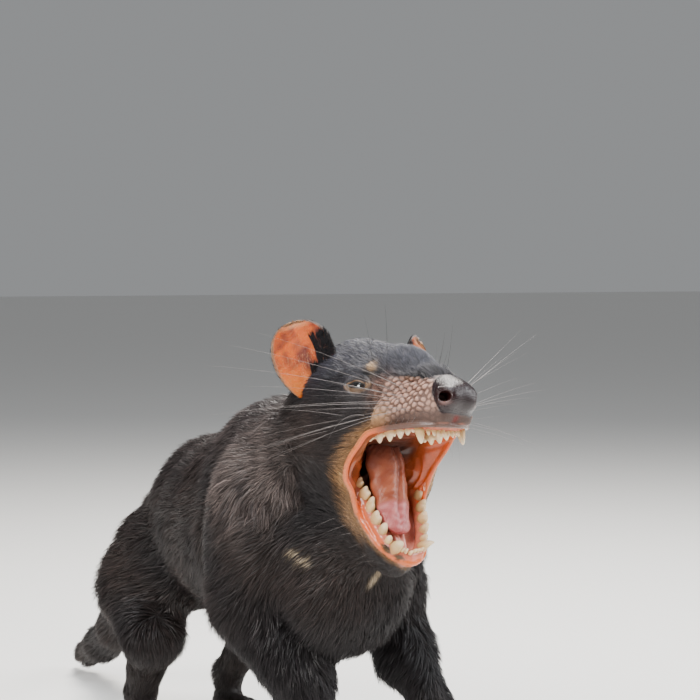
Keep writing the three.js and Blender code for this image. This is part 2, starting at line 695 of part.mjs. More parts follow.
function padCut(s, grow) {
  const [x, y, z] = PAD.at;
  return egg(head([x, s * y, z]), PAD.half.map((v) => v + grow), [HEAD_X, HEAD_Y, HEAD_Z], 8, 6);
}

// Tapered spine that leaves the pad outward and back, and sags towards its tip
function whisker(s, row, place) {
  const from = surfaceFrom(head([62 + 8 * place, s * 8, 27 - 7 * row]), headTurn([0, s, 0]));
  const vary = 0.06 * Math.sin(7 * row + 4 * place + s);
  const [back, up] = s > 0 ? WHISKER_LEAN.left : WHISKER_LEAN.right;
  const away = unit([back + 0.13 * place + vary, s * 0.78, up - 0.3 * row + vary]);
  const length = WHISKER_LENGTH * (1 - 0.1 * place - 0.06 * row + vary);
  const sag = [-0.12, 0, -0.06];
  const side = unit(cross(away, [0, 0, 1]));
  const over = cross(side, away);
  const rings = [[-0.03, 1], [0.3, 0.8], [0.65, 0.55], [1, 0.12]].map(([t, w]) => {
    const bend = scale(sag, t * Math.abs(t));
    const centre = scale(add(scale(away, t), bend), length);
    return ring(centre, scale(side, WHISKER_RADIUS * w), scale(over, WHISKER_RADIUS * w), 3)
      .map((p) => add(from, headTurn(p)));
  });
  return loft(rings);
}

for (const s of [1, -1]) {
  let pad = nodes.muzzle.intersect(padCut(s, 0));
  nodes.muzzle = nodes.muzzle.subtract(padCut(s, GAP));
  for (let row = 0; row < WHISKER_ROWS; row += 1) {
    for (let place = 0; place < WHISKERS_IN_ROW; place += 1) {
      pad = pad.add(whisker(s, row, place));
    }
  }
  nodes[`whisker_pad_${s > 0 ? 'left' : 'right'}`] = pad;
}

// Nose pad with its nostrils
let nose = keep(net(mass, [170, -30, 240], [225, 60, 320], STEP.nose), noseCut.normal, noseCut.point);
for (const s of [1, -1]) {
  const axes = [[0.8, s * 0.6, 0], [-s * 0.6, 0.8, 0], [0, 0, 1]].map(headTurn);
  nose = nose.subtract(egg(head([114, s * 7, 20]), [6, 3, 3.4], axes, 8, 5));
  nose = nose.subtract(egg(head([109, s * 12.5, 18]), [6, 3, 2], axes, 6, 4));
}
nodes.nose = nose;

// Mouth lining, lips, teeth and tongue
nodes.mouth_lining = mouthCavity(0.985, 0.06).subtract(mouthCavity(0.95)).subtract(lipRoom);
nodes.lips = lipTube;
nodes.upper_teeth = teeth(UPPER_GUM, same, [0, 0, -1], UPPER_ROW);
nodes.lower_teeth = teeth(LOWER_GUM, jaw, [0, 0, 1], LOWER_ROW);

const TONGUE_SHIFT = -3.2;
const TONGUE = [
  // along the jaw, height, half width, half thickness
  [14, 21, 13, 7], [22, 18, 14.5, 8], [31, 14, 14, 8], [42, 9.5, 13.5, 7.5], [54, 5.5, 12, 6.5],
  [62, 3.6, 10.5, 5], [68, 2.9, 8.5, 3.8], [70.5, 2.7, 5, 2.4],
];
const tongueRings = TONGUE.map(([x, z, wide, thick]) => Array.from({ length: 14 }, (_, i) => {
  const t = 2 * Math.PI * i / 14;
  const groove = 1.6 * Math.exp(-((Math.cos(t) / 0.22) ** 2)) * (Math.sin(t) > 0 ? 1 : 0);
  return mouth(jaw([x, TONGUE_SHIFT + wide * Math.cos(t), z + thick * Math.sin(t) - groove]));
}));
nodes.tongue = loft(tongueRings).intersect(mouthRoom).subtract(gumRidge(LOWER_GUM, jaw, [0, 0, 1], GAP));

// Eyes in their lids: a shell over the eyeball with an almond opening
function surfaceFrom(start, direction) {
  let p = start;
  for (let i = 0; i < 200 && mass(p) < 0; i += 1) {
    p = add(p, scale(direction, Math.max(0.2, -0.5 * mass(p))));
  }
  return p;
}

for (const s of [1, -1]) {
  const name = s > 0 ? 'left' : 'right';
  const out = unit(headTurn([0.5, s * 0.84, 0.22]));
  const slant = headTurn(unit([0.86, -s * 0.42, -0.28]));
  const line = unit(sub(slant, scale(out, dot(slant, out))));
  const axes = [line, cross(out, line), out];
  const skin = surfaceFrom(head([32, s * 20, 32]), out);
  const centre = add(skin, scale(out, -6.6));
  const room = egg(centre, [LID_RADIUS + GAP, LID_RADIUS + GAP, LID_RADIUS + GAP], axes, 10, 6);
  nodes.head = nodes.head.subtract(room);
  nodes.muzzle = nodes.muzzle.subtract(room);
  nodes[`eye_${name}`] = egg(centre, [EYE_RADIUS, EYE_RADIUS, EYE_RADIUS], axes, 8, 6);
  const lids = egg(centre, [LID_RADIUS, LID_RADIUS, LID_RADIUS], axes, 10, 6)
    .subtract(egg(centre, [EYE_RADIUS + GAP, EYE_RADIUS + GAP, EYE_RADIUS + GAP], axes, 8, 6));
  const opening = egg(add(centre, scale(out, 8)), [6.2, 3.0, 8], axes, 10, 6);
  nodes[`eyelids_${name}`] = lids.subtract(opening);
}

// Ears: thin rounded cups, open to the front and side
function ear(s, grow) {
  const root = [-2, s * 39.5, 33];
  const up = unit([-0.16, s * 0.24, 0.95]);
  const face = unit([0.82, s * 0.55, 0.1]);
  const front = unit(sub(face, scale(up, dot(face, up))));
  const wide = cross(up, front);
  const across = 8;
  const rows = 6;
  const sheet = (depth) => Array.from({ length: rows + 1 }, (_, r) => {
    const v = r / rows;
    const half = EAR_HALF_WIDTH * Math.sqrt(Math.max(0.02, 1 - ((v - 0.38) / 0.64) ** 2));
    const rise = EAR_HEIGHT * v + (r === 0 ? -grow : 0) + (r === rows ? grow : 0);
    return Array.from({ length: across + 1 }, (__, c) => {
      const u = (2 * c / across - 1) * (1 + grow / half);
      const curl = (9 * (1 - v * 0.75)) * u * u - 5 * (1 - v);
      const place = add(scale(up, rise), scale(wide, half * u));
      return head(add(root, add(place, scale(front, curl + depth))));
    });
  });
  const inner = sheet(EAR_THICKNESS / 2 + 1.6 * grow);
  const outer = sheet(-EAR_THICKNESS / 2 - 1.6 * grow);
  return shell(inner, outer);
}
const earRoom = ear(1, GAP).add(ear(-1, GAP));
nodes.head = nodes.head.subtract(earRoom);
nodes.neck = nodes.neck.subtract(earRoom);
nodes.ear_left = ear(1, 0);
nodes.ear_right = ear(-1, 0);

// Claws: curved cones set in the toe tips, held just off the floor
const CLAW_ROWS = [[1.5, 1.0, 2.2], [9.5, -0.2, 1.9], [5 + CLAW_LENGTH, -3.0, 0.25]];

function claw(leg, toe, grow) {
  const flat = unit([toe.tip[0] - toe.root[0], toe.tip[1] - toe.root[1], 0]);
  const across = [-flat[1], flat[0], 0];
  return loft(CLAW_ROWS.map(([x, z, r], i) => {
    const reach = x + (i === 0 ? -grow : 0) + (i === 2 ? grow : 0);
    const centre = [toe.tip[0] + flat[0] * reach, toe.tip[1] + flat[1] * reach, toe.tip[2] + z];
    const rim = ring(centre, scale(across, r * 0.75 + grow), [0, 0, r + grow], 4);
    return rim.map((p) => onFoot(leg, p));
  }));
}

for (const leg of Object.values(LEGS)) {
  const paw = pawName(leg);
  toes(leg).forEach((toe, i) => {
    nodes[paw] = nodes[paw].subtract(claw(leg, toe, GAP));
    nodes[`claw_${paw}_${i + 1}`] = claw(leg, toe, 0);
  });
}

// Colours
const coat = new THREE.MeshStandardMaterial({ color: 0x2b2524, roughness: 0.85, metalness: 0 });
const skinTone = new THREE.MeshStandardMaterial({ color: 0x7d655e, roughness: 0.7, metalness: 0 });
const nosePad = new THREE.MeshStandardMaterial({ color: 0x2a1c1f, roughness: 0.35, metalness: 0 });
const flesh = new THREE.MeshStandardMaterial({ color: 0xd07a74, roughness: 0.4, metalness: 0 });
const lipSkin = new THREE.MeshStandardMaterial({ color: 0xd98660, roughness: 0.45, metalness: 0 });
const enamel = new THREE.MeshStandardMaterial({ color: 0xece0c6, roughness: 0.3, metalness: 0 });
const earSkin = new THREE.MeshStandardMaterial({ color: 0xc06a3c, roughness: 0.7, metalness: 0 });
const eyeball = new THREE.MeshStandardMaterial({ color: 0x140f0d, roughness: 0.1, metalness: 0 });
const horn = new THREE.MeshStandardMaterial({ color: 0x5c4c3e, roughness: 0.5, metalness: 0 });

function materialFor(name) {
  if (name.startsWith('claw')) return horn;
  if (name.startsWith('ear')) return earSkin;
  if (name.startsWith('eye_')) return eyeball;
  if (name.startsWith('eyelids') || name === 'muzzle' || name.startsWith('whisker')) return skinTone;
  if (name.endsWith('teeth')) return enamel;
  if (name === 'nose') return nosePad;
  if (name === 'lips') return lipSkin;
  if (name === 'tongue' || name === 'mouth_lining') return flesh;
  return coat;
}

function toMesh(name, body) {
  const mesh = largest(largest(body).simplify(FINISH)).getMesh();
  const geometry = new THREE.BufferGeometry();
  const points = new Float32Array(mesh.numVert * 3);
  for (let i = 0; i < mesh.numVert; i += 1) {
    points.set(mesh.vertProperties.slice(i * mesh.numProp, i * mesh.numProp + 3), i * 3);
  }
  geometry.setAttribute('position', new THREE.BufferAttribute(points, 3));
  geometry.setIndex(Array.from(mesh.triVerts));
  const result = new THREE.Mesh(mergeVertices(geometry, 1e-4), materialFor(name).clone());
  result.name = name;
  return result;
}

// The finished animal, set so that its box is centred over the origin
const devil = new THREE.Group();
for (const [name, body] of Object.entries(nodes)) {
  devil.add(toMesh(name, body));
}
const box = new THREE.Box3().setFromObject(devil);
devil.position.set(-(box.min.x + box.max.x) / 2, -(box.min.y + box.max.y) / 2, -box.min.z);

export default devil;
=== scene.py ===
"""A life-size Tasmanian devil that stands on four legs with its mouth wide open.

Lengths are millimetres in the plan's frame (+X the way the body faces, +Y left, +Z up) until a mesh
is made, where they become metres in the row's frame. The body is one smooth field, meshed as one skin.
The coat, the whiskers, the teeth, the tongue, the eyes, the ears and the claws are pieces of their own.
"""

import math
from collections import namedtuple

import bpy
import numpy as np
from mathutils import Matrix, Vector


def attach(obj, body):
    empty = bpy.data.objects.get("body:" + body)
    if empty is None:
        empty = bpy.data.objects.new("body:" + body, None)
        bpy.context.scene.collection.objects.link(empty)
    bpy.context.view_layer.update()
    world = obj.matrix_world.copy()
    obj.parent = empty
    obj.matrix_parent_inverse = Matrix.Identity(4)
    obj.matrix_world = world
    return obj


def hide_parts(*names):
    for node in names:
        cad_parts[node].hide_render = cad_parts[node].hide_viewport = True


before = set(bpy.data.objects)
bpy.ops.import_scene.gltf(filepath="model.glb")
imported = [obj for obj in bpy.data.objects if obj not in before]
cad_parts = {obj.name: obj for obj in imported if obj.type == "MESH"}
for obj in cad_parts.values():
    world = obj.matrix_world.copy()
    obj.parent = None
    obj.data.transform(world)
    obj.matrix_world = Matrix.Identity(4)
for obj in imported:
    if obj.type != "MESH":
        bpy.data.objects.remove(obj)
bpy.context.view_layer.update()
# Shift from the plan's frame to the row's, place of the jaw's hinge, and turns in degrees
PLAN_TO_ROW = np.array([154.114, -19.089, 0.0])
HINGE = np.array([95.0, 6.0, 256.0])
HEAD_YAW, HEAD_PITCH, HEAD_ROLL, GAPE, MOUTH_ROLL = 10.3, 14.0, -10.0, 58.0, 5.0
EYE_RADIUS, EYE_SUNK, SOCKET_RADIUS = 6.7, 6.6, 8.3
PAIR = (1, -1)
SIDES = ((1, "left"), (-1, "right"))
FULL_TURN = 2 * math.pi

FINE = 1.0
BLADE_SHARE = 1.0
EAR_BLADE_SHARE = 1.0
BLADE_WIDENING = 1.0


# Small helpers
def spin(axis, degrees):
    """Rotation matrix about one axis."""
    c, s = math.cos(math.radians(degrees)), math.sin(math.radians(degrees))
    rows = {
        "x": [[1, 0, 0], [0, c, -s], [0, s, c]],
        "y": [[c, 0, s], [0, 1, 0], [-s, 0, c]],
        "z": [[c, -s, 0], [s, c, 0], [0, 0, 1]],
    }
    return np.array(rows[axis])


HEAD = spin("z", HEAD_YAW) @ spin("y", -HEAD_PITCH) @ spin("x", HEAD_ROLL)
JAW = spin("y", GAPE)
ROLL = spin("x", MOUTH_ROLL)


def head(p):
    return HINGE + np.asarray(p, float) @ HEAD.T


def to_head(p):
    return (p - HINGE) @ HEAD


def jaw(p):
    return np.asarray(p, float) @ JAW.T


def to_jaw(h):
    return h @ JAW


def mouth(q):
    """Plan point of a point in the mouth's frame, which is rolled a little about the head's x."""
    return head(np.asarray(q, float) @ ROLL.T)


def to_mouth(h):
    return h @ ROLL


def between(reach, angle, side=0.0):
    """Point between the jaws: distance from the hinge line, angle below the palate, distance to the left."""
    a = math.radians(angle)
    return np.array([reach * math.cos(a), side, -reach * math.sin(a)])


def size_of(v):
    return np.sqrt((v * v).sum(-1))


def turn_steps(count):
    """Evenly spaced angles round a full turn."""
    return np.linspace(0, FULL_TURN, count, endpoint=False)


def unit(v):
    v = np.asarray(v, float)
    return v / np.maximum(size_of(v), 1e-9)[..., None]


def ease(x, low, high):
    """Smooth step from 0 at low to 1 at high."""
    t = np.clip((x - low) / (high - low), 0.0, 1.0)
    return t * t * (3 - 2 * t)


def mix(a, b, share):
    return a * (1 - share) + b * share


def hump(x, at, width):
    """Soft bump of unit height along one number: 0.37 at the width."""
    return np.exp(-((x - at) / width) ** 2)


def bell(p, centre, radius):
    """Soft spot: 1 at the centre, 0.37 at the radius."""
    q = (p - np.asarray(centre, float)) / np.asarray(radius, float)
    return np.exp(-(q * q).sum(-1))


def ripple(p, size, seed):
    """Smooth noise of about unit strength: a sum of sine waves in random directions."""
    waves = 6
    rng = np.random.default_rng(seed)
    k = unit(rng.normal(size=(waves, 3))) * rng.uniform(0.7, 1.5, (waves, 1)) * 2 * math.pi / size
    return np.sin(p @ k.T + rng.uniform(0, 6.28, waves)).sum(-1) * (1.2 / math.sqrt(waves))


# Forms of the body and how they blend. Each gives the signed distance of points, below 0 inside
def ball(p, at, half):
    """Ellipsoid from its middle and half sizes."""
    q = (p - np.array(at, float)) / np.array(half, float)
    near = size_of(q)
    return near * (near - 1) / np.maximum(size_of(q / np.array(half, float)), 1e-6)


def bone(p, a, b, start, end):
    """Rounded bar between two points, with a radius at each end."""
    a, d = np.array(a, float), np.array(b, float) - np.array(a, float)
    t = np.clip(((p - a) @ d) / (d @ d), 0, 1)
    return size_of(p - a - t[:, None] * d) - (start + (end - start) * t)


def join(a, b, blend):
    """The nearer of two forms, with a rounded valley of the given width between them."""
    o = np.maximum(blend - np.abs(a - b), 0) / blend
    return np.minimum(a, b) - o * o * blend / 4


def carve(a, b, blend):
    """The first form without the second."""
    return -join(-a, b, blend)


def total(p, forms):
    """Smooth sum of forms. Each is (kind, its sizes, blend)."""
    value = None
    for kind, sizes, blend in forms:
        v = kind(p, *sizes)
        value = v if value is None else join(value, v, blend)
    return value


# Each form is its kind, its sizes, and how far it blends with the forms before it
TRUNK = [
    (ball, ((-38, 0, 190), (112, 64, 78)), 0),
    (ball, ((-20, 0, 237), (82, 48, 52)), 20),
    (ball, ((-135, 0, 184), (104, 58, 70)), 30),
    (ball, ((-214, 0, 152), (68, 52, 50)), 30),
    (ball, ((62, 2, 170), (42, 48, 56)), 24),
    *[(ball, ((22, s * 50, 182), (46, 27, 66)), 20) for s in PAIR],
    *[(ball, ((-210, s * 42, 134), (52, 29, 50)), 22) for s in PAIR],
]
NECK = [
    (bone, ((25, 0, 222), (76, 5, 262), 60, 50), 0),
    (bone, ((62, 2, 190), (98, 6, 224), 46, 36), 24),
]
TAIL = np.array([
    # along, left, up and radius
    (-250, 0, 171, 34), (-284, 0, 149, 31.5), (-316, 0, 124, 27), (-356, -1, 91, 24.5),
    (-398, -3, 60, 22.5), (-440, -5, 37, 19.5), (-478, -7, 22, 15), (-506, -8, 13, 8),
], float)
TAIL_FORMS = [
    (bone, (a[:3], b[:3], a[3], b[3]), 6) for a, b in zip(TAIL[:-1], TAIL[1:])
]
Leg = namedtuple("Leg", "top joint ankle radii place turn hind side")
LEGS = [
    Leg((30, -52, 150), (58, -28, 106), (88, -17, 34), (30, 22, 20, 13), (88, -17), -4, False, -1),
    Leg((34, 50, 150), (50, 59, 108), (100, 82, 34), (30, 20, 16, 12), (100, 82), 8, False, 1),
    Leg((-215, -46, 122), (-170, -54, 92), (-212, -49, 40), (38, 26, 23, 13), (-212, -49), -6, True, -1),
    Leg((-224, 46, 122), (-202, 55, 92), (-258, 46, 40), (38, 26, 23, 13), (-258, 46), 6, True, 1),
]


def on_foot(leg, p):
    """Point given ahead, left and up of a paw's place, in the plan's frame."""
    return np.array([*leg.place, 0.0]) + np.asarray(p, float) @ spin("z", leg.turn).T


def toes(leg):
    """Roots, tips and radii of the toes: four ahead, and on a forepaw a fifth on the inner side."""
    start = 40 if leg.hind else 17
    rows = [
        ((start, k * 8.6, 10), (start + 17 - k * k * 2.2, k * 10.4, 5.6), 6.1)
        for k in (-1.5, -0.5, 0.5, 1.5)
    ]
    if not leg.hind:
        rows.append(((6, -leg.side * 12, 10), (19, -leg.side * 20, 5), 5.2))
    return rows


def leg_forms(leg):
    """Upper and lower leg, paw and toes."""
    thigh, knee, shin, heel = leg.radii
    rows = [(bone, (leg.top, leg.joint, thigh, knee), 0), (bone, (leg.joint, leg.ankle, shin, heel), 10)]
    if leg.hind:
        rows += [
            (bone, (leg.ankle, on_foot(leg, (-3, 0, 13)), 13, 13), 8),
            (bone, (on_foot(leg, (-3, 0, 11.6)), on_foot(leg, (20, 0, 11)), 12, 12.5), 8),
            (ball, (on_foot(leg, (34, 0, 11)), (18, 17, 11.6)), 8),
        ]
    else:
        rows += [
            (bone, (leg.ankle, on_foot(leg, (4, 0, 14)), 13, 12), 8),
            (ball, (on_foot(leg, (11, 0, 10.6)), (18, 16.5, 11.2)), 8),
        ]
    for root, tip, radius in toes(leg):
        rows.append((bone, (on_foot(leg, root), on_foot(leg, tip), radius + 0.8, radius), 3))
    return rows


# The head in its own frame, and the chin in the lower jaw's
SKULL = [
    (ball, ((0, 0, 32), (44, 43, 50)), 0),
    (ball, ((30, 0, 38), (42, 34, 34.5)), 14),
    *[(ball, ((14, s * 28, 10), (34, 17, 30)), 12) for s in PAIR],
    *[(ball, (between(14, 40, s * 27), (27, 14, 27)), 10) for s in PAIR],
    (bone, ((44, 0, 27), (92, 0, 20), 27, 17.5), 12),
    *[(bone, ((46, s * 22, 12.5), (86, s * 13.5, 13), 12, 10), 8) for s in PAIR],
    *[(bone, ((30, s * 26, 47), (46, s * 19, 45), 8, 6), 8) for s in PAIR],
    (ball, ((103, 0, 20), (12.5, 13.5, 12)), 4),
]
CHIN = [
    (bone, ((14, 0, -14), (72, 0, -13), 25, 15), 0),
    *[(bone, ((34, s * 19, -9), (76, s * 10, -10), 11, 9), 8) for s in PAIR],
    (ball, ((82, 0, -12), (13, 13, 10)), 8),
]


def mass(p, h):
    """Outer form of the animal, out to the tips of its coat."""
    value = join(total(p, TRUNK), total(p, NECK), 26)
    for leg in LEGS:
        value = join(value, total(p, leg_forms(leg)), 14)
    value = join(value, total(p, TAIL_FORMS), 14)
    near = size_of(h - np.array([30.0, 0, 0])) < 150
    if near.any():
        q = h[near]
        skull = join(total(q, SKULL), total(to_jaw(q), CHIN), 10)
        value[near] = join(value[near], skull, 20)
    return value


def surface_from(start, way, depth=0.0):
    """Points slid along a direction, in the head's frame, until they lie a depth under the outer form."""
    p = np.atleast_2d(np.asarray(start, float))
    for _ in range(60):
        p = p - 0.5 * way * (mass(head(p), p) + depth)[:, None]
    return p


# Eyes: just under the outer form, looking ahead and to the side. The rows of a frame are the line of
# the slit towards the nose, across it, and outward.
def eye_frame(s):
    out = unit(np.array([0.5, s * 0.84, 0.22]))
    slant = np.array([0.86, -s * 0.42, -0.15])
    line = unit(slant - out * (slant @ out))
    at = surface_from((32.0, s * 20, 32), out)[0]
    return at - out * EYE_SUNK, np.array([line, np.cross(out, line), out])


EYES = {s: eye_frame(s) for s in PAIR}


# The head's piece of skin and the body's meet under the fur of the neck
SEAM_AHEAD, SEAM_AT = np.array([0.8, 0, 0.6]), 201.6


def ahead_of_seam(p):
    return p @ SEAM_AHEAD - SEAM_AT


# Line of the mouth from the middle of the upper lip to the middle of the lower one: along, half
# width, up, how far its middle lies to the left of the head's, and radius of the rim
UPPER_LIP = [
    (101, 0, 1.5, 0, 1.2), (98, 11.5, 2, 0, 1.2), (90, 19.5, 3.2, 0, 1.5), (78, 24.5, 4.4, 0.5, 1.8),
    (64, 30, 5, 1.5, 1.6), (52, 35, 3.5, 1.5, 1.6),
]
MOUTH_CORNER = [
    (*between(46, 5, 36), -1.5, 1.5), (*between(41, 15, 36), -3.8, 1.5), (*between(38.5, 26, 35), -4.8, 1.5),
    (*between(38.5, 37, 33), -4.6, 1.5), (*between(43, 46.5, 29.5), -3.2, 1.5),
]
LOWER_LIP = [
    (50, 26.2, -3, 0.8, 1.5), (63, 22.6, -4.5, 0, 1.5), (76, 18.6, -5.5, 0, 1.6), (86, 11.3, -5.5, 0, 1.6),
    (91, 0, -5.5, 0, 1.6),
]
MOUTH_ANGLE = 29
THROAT = between(15, MOUTH_ANGLE)
MOUTH_AXIS = between(1, MOUTH_ANGLE)
MOUTH_UP = np.array([MOUTH_AXIS[2] * -1, 0, MOUTH_AXIS[0]])


def smooth_path(points, count, closed=False):
    """Points evenly spaced along a smooth curve through the given ones."""
    pts = np.asarray(points, float)
    n = len(pts)
    ends = (pts[-1:], pts[:2]) if closed else (2 * pts[:1] - pts[1:2], 2 * pts[-1:] - pts[-2:-1])
    q = np.concatenate([ends[0], pts, ends[1]])
    spans = n if closed else n - 1
    t = np.linspace(0, 1, 24, endpoint=False)[:, None]
    rows = []
    for i in range(spans):
        a, b, c, d = q[i:i + 4]
        rows.append(0.5 * (2 * b + (c - a) * t + (2 * a - 5 * b + 4 * c - d) * t ** 2
                           + (3 * b - a - 3 * c + d) * t ** 3))
    path = np.concatenate(rows + [pts[:1] if closed else pts[-1:]])
    along = np.concatenate([[0], np.cumsum(size_of(np.diff(path[:, :3], axis=0)))])
    at = np.linspace(0, along[-1], count, endpoint=not closed)
    return np.stack([np.interp(at, along, path[:, k]) for k in range(pts.shape[1])], 1)


def lip_half(s):
    """Points of the mouth's line on one side, with the rim's radius, in the mouth's frame."""
    rows = np.array(UPPER_LIP + MOUTH_CORNER + LOWER_LIP, float)
    at = np.stack([rows[:, 0], s * rows[:, 1] + rows[:, 3], rows[:, 2]], 1)
    at[-len(LOWER_LIP):] = jaw(at[-len(LOWER_LIP):])
    return np.column_stack([at, rows[:, 4]])


LOOP = smooth_path(np.concatenate([lip_half(1), lip_half(-1)[1:-1][::-1]]), 400, closed=True)


def angle_below(m):
    """Angle of points below the palate, seen from the jaw's hinge, in degrees."""
    return np.degrees(np.arctan2(-m[:, 2], m[:, 0]))


def mouth_polar(h):
    """Distance along the mouth's axis from the throat, distance from the axis and angle round it."""
    q = h - THROAT
    a, w, y = q @ MOUTH_AXIS, q @ MOUTH_UP, q[..., 1]
    return a, np.hypot(w, y), np.arctan2(w, y)


loop_a, loop_r, loop_t = mouth_polar(LOOP[:, :3])
order = np.argsort(loop_t)
LOOP_TURN = unit(np.roll(LOOP[:, :3], -1, 0) - np.roll(LOOP[:, :3], 1, 0))[order]
LOOP_AT = LOOP[order]
LOOP_A, LOOP_SLOPE, LOOP_T = loop_a[order], (loop_r / loop_a)[order], loop_t[order]


def round_loop(t, table):
    """Values of a table of the lips' loop at angles round the mouth's axis."""
    if table.ndim == 1:
        return np.interp(t, LOOP_T, table, period=FULL_TURN)
    return np.stack([round_loop(t, column) for column in table.T], -1)


def mouth_fields(h):
    """Signed distance to the wall of the mouth and to the lip tube, and how far out a point is
    between the throat (0) and the lips (1)."""
    a, r, t = mouth_polar(h)
    slope, reach = round_loop(t, LOOP_SLOPE), round_loop(t, LOOP_A)
    out = a / reach
    rise = np.clip((MOUTH_ANGLE - angle_below(h)) / 22, -1, 1)
    arch = np.where(rise > 0, 12, -7) * np.sin(math.pi * np.clip(1 - out, 0, 1)) * rise
    arch = arch * (1 - ease(np.abs(h[:, 1]), 18, 27) * (rise > 0))
    wall = (r - slope * np.maximum(a, 0) - arch) / np.sqrt(1 + slope ** 2)
    wall = np.maximum(wall, 6 - a)
    at, turn = round_loop(t, LOOP_AT), unit(round_loop(t, LOOP_TURN))
    d = h - at[:, :3]
    d = d - turn * (d * turn).sum(-1)[:, None]
    return wall, size_of(d) - at[:, 3], out


# Gums, from the middle of the front to the back: along, half width, up, shift to the left
UPPER_GUM = np.array([(92, 0, 3, 0), (91, 9, 3.5, 0), (86, 16.5, 4.5, 0), (77, 18, 6, 0), (66, 19, 7.5, 0),
                      (54, 20.5, 8, 0), (43, 21, 8, 0), (36, 21, 7.5, 0)])
LOWER_GUM = np.array([(86.8, 0, -2, -1.6), (85.8, 5.4, -2, -1.6), (82, 11.4, -2, -1.3), (73, 15.5, -1.4, -0.4),
                      (61, 18.8, -0.5, 0.9), (46, 21.5, 0.5, 2.2), (33, 23.5, 2, 2.9), (25, 24, 3.5, 3.4)])


def ridge(gum, count, lower):
    """Points along a gum, from its left end round the front to its right end, in the mouth's frame."""
    left = gum[::-1, :3] + gum[::-1, 3:] * [0, 1, 0]
    right = gum[1:, :3] * [1, -1, 1] + gum[1:, 3:] * [0, 1, 0]
    path = smooth_path(np.concatenate([left, right]), count)
    return jaw(path) if lower else path


def tubes(h, path, radius, blend):
    """Bars of one radius along a path."""
    value = None
    for a, b in zip(path[:-1], path[1:]):
        v = bone(h, a, b, radius, radius)
        value = v if value is None else join(value, v, blend)
    return value


UPPER_PATH = ridge(UPPER_GUM, 19, False)
LOWER_PATH = ridge(LOWER_GUM, 19, True)


def lip_floor(m):
    """Flesh between the lower lip and the gum: short bars side by side, from the lip's line to the gum's."""
    lip = np.array([row[:4] for row in LOWER_LIP], float)[::-1]
    bars = 31
    lip = ridge(np.concatenate([lip, [(42, 29.5, 1.5, 1.2)]]), bars, True)
    value = None
    for a, b in zip(lip, ridge(LOWER_GUM[:6], bars, True)):
        v = bone(m, a + jaw((0, 0, -0.8)), b + jaw((0, 0, -2.4)), 1.2, 2.4)
        value = v if value is None else join(value, v, 1.2)
    return value


def coat_depth(p, h):
    """How far the skin lies under the coat's tips."""
    body = 6.2 - 1.4 * ease(-p[:, 0], 270, 330)
    body = body * (0.35 + 0.65 * ease(p[:, 2], 30, 120))
    body = 1.0 + (body - 1.0) * ease(p[:, 2], 6, 26)
    body = mix(body, 6.0, ease(-p[:, 0], 260, 300))
    on_crown = 2.8 + 1.6 * bell(h, (22, 0, 66), (34, 30, 20))
    depth = mix(body, on_crown, ease(h[:, 0], -45, 8))
    depth = mix(depth, 0.9, np.maximum(ease(h[:, 0], 40, 62), ease(to_jaw(h)[:, 0], 46, 76)))
    for s in PAIR:
        depth = mix(depth, 0.9, 1 - ease(size_of(h - EYES[s][0]), 8, 22))
    return depth * (1 - ease(h[:, 0], 94, 100)) + 0.1


# Bumps of the whisker pads: rows of low mounds along the muzzle, each row set half a step on
BEAD_STEP, BEAD_ROW, BEAD_RISE = 4.7, 3.7, 1.25


def bead_height(h):
    """Height of the bumps, from 0 between them to 1 on top of one."""
    warp = 0.8 * np.stack([ripple(h, 16, 71), ripple(h, 16, 72)], 1)
    along = h[:, 0] * 0.97 + h[:, 2] * 0.24 + warp[:, 0]
    up = h[:, 2] * 0.97 - h[:, 0] * 0.24 + warp[:, 1]
    row = np.round(up / BEAD_ROW)
    shift = BEAD_STEP * 0.5 * np.mod(row, 2)
    away = along - shift - BEAD_STEP * np.round((along - shift) / BEAD_STEP)
    near = np.hypot(away / 1.05, up - row * BEAD_ROW)
    swell = 1.95 + 0.25 * ripple(h, 11, 73)
    return np.clip(1 - (near / swell) ** 2, 0, 1) ** 0.8


def bead_zone(h):
    """1 on the sides of the muzzle between the nose and the eyes, 0 on its bridge and elsewhere."""
    side = ease(np.abs(h[:, 1]), 9, 14)
    rear = ease(h[:, 0] - 0.35 * (h[:, 2] - 15), 51, 60)
    return side * rear * ease(-h[:, 0], -97, -91) * ease(h[:, 2], 7.5, 11) * ease(-h[:, 2], -40, -35)


# Wrinkles over the bridge of the nose and the brow: bones half sunk in the skin
WRINKLES = []
for s in PAIR:
    for start, end, radius in (
        ((64, s * 18, 38), (92, s * 12, 30), 1.5), ((66, s * 22, 34), (95, s * 14.5, 26), 1.3),
        ((72, s * 8, 38), (93, s * 6, 31), 1.1), ((50, s * 29, 27), (60, s * 24, 37), 1.4),
        ((26, s * 36, 48), (50, s * 27, 46), 2.2),
    ):
        ends = surface_from([start, end], np.array([0, s * 0.6, 0.8]), 1.9)
        WRINKLES.append((ends[0], ends[1], radius, radius))


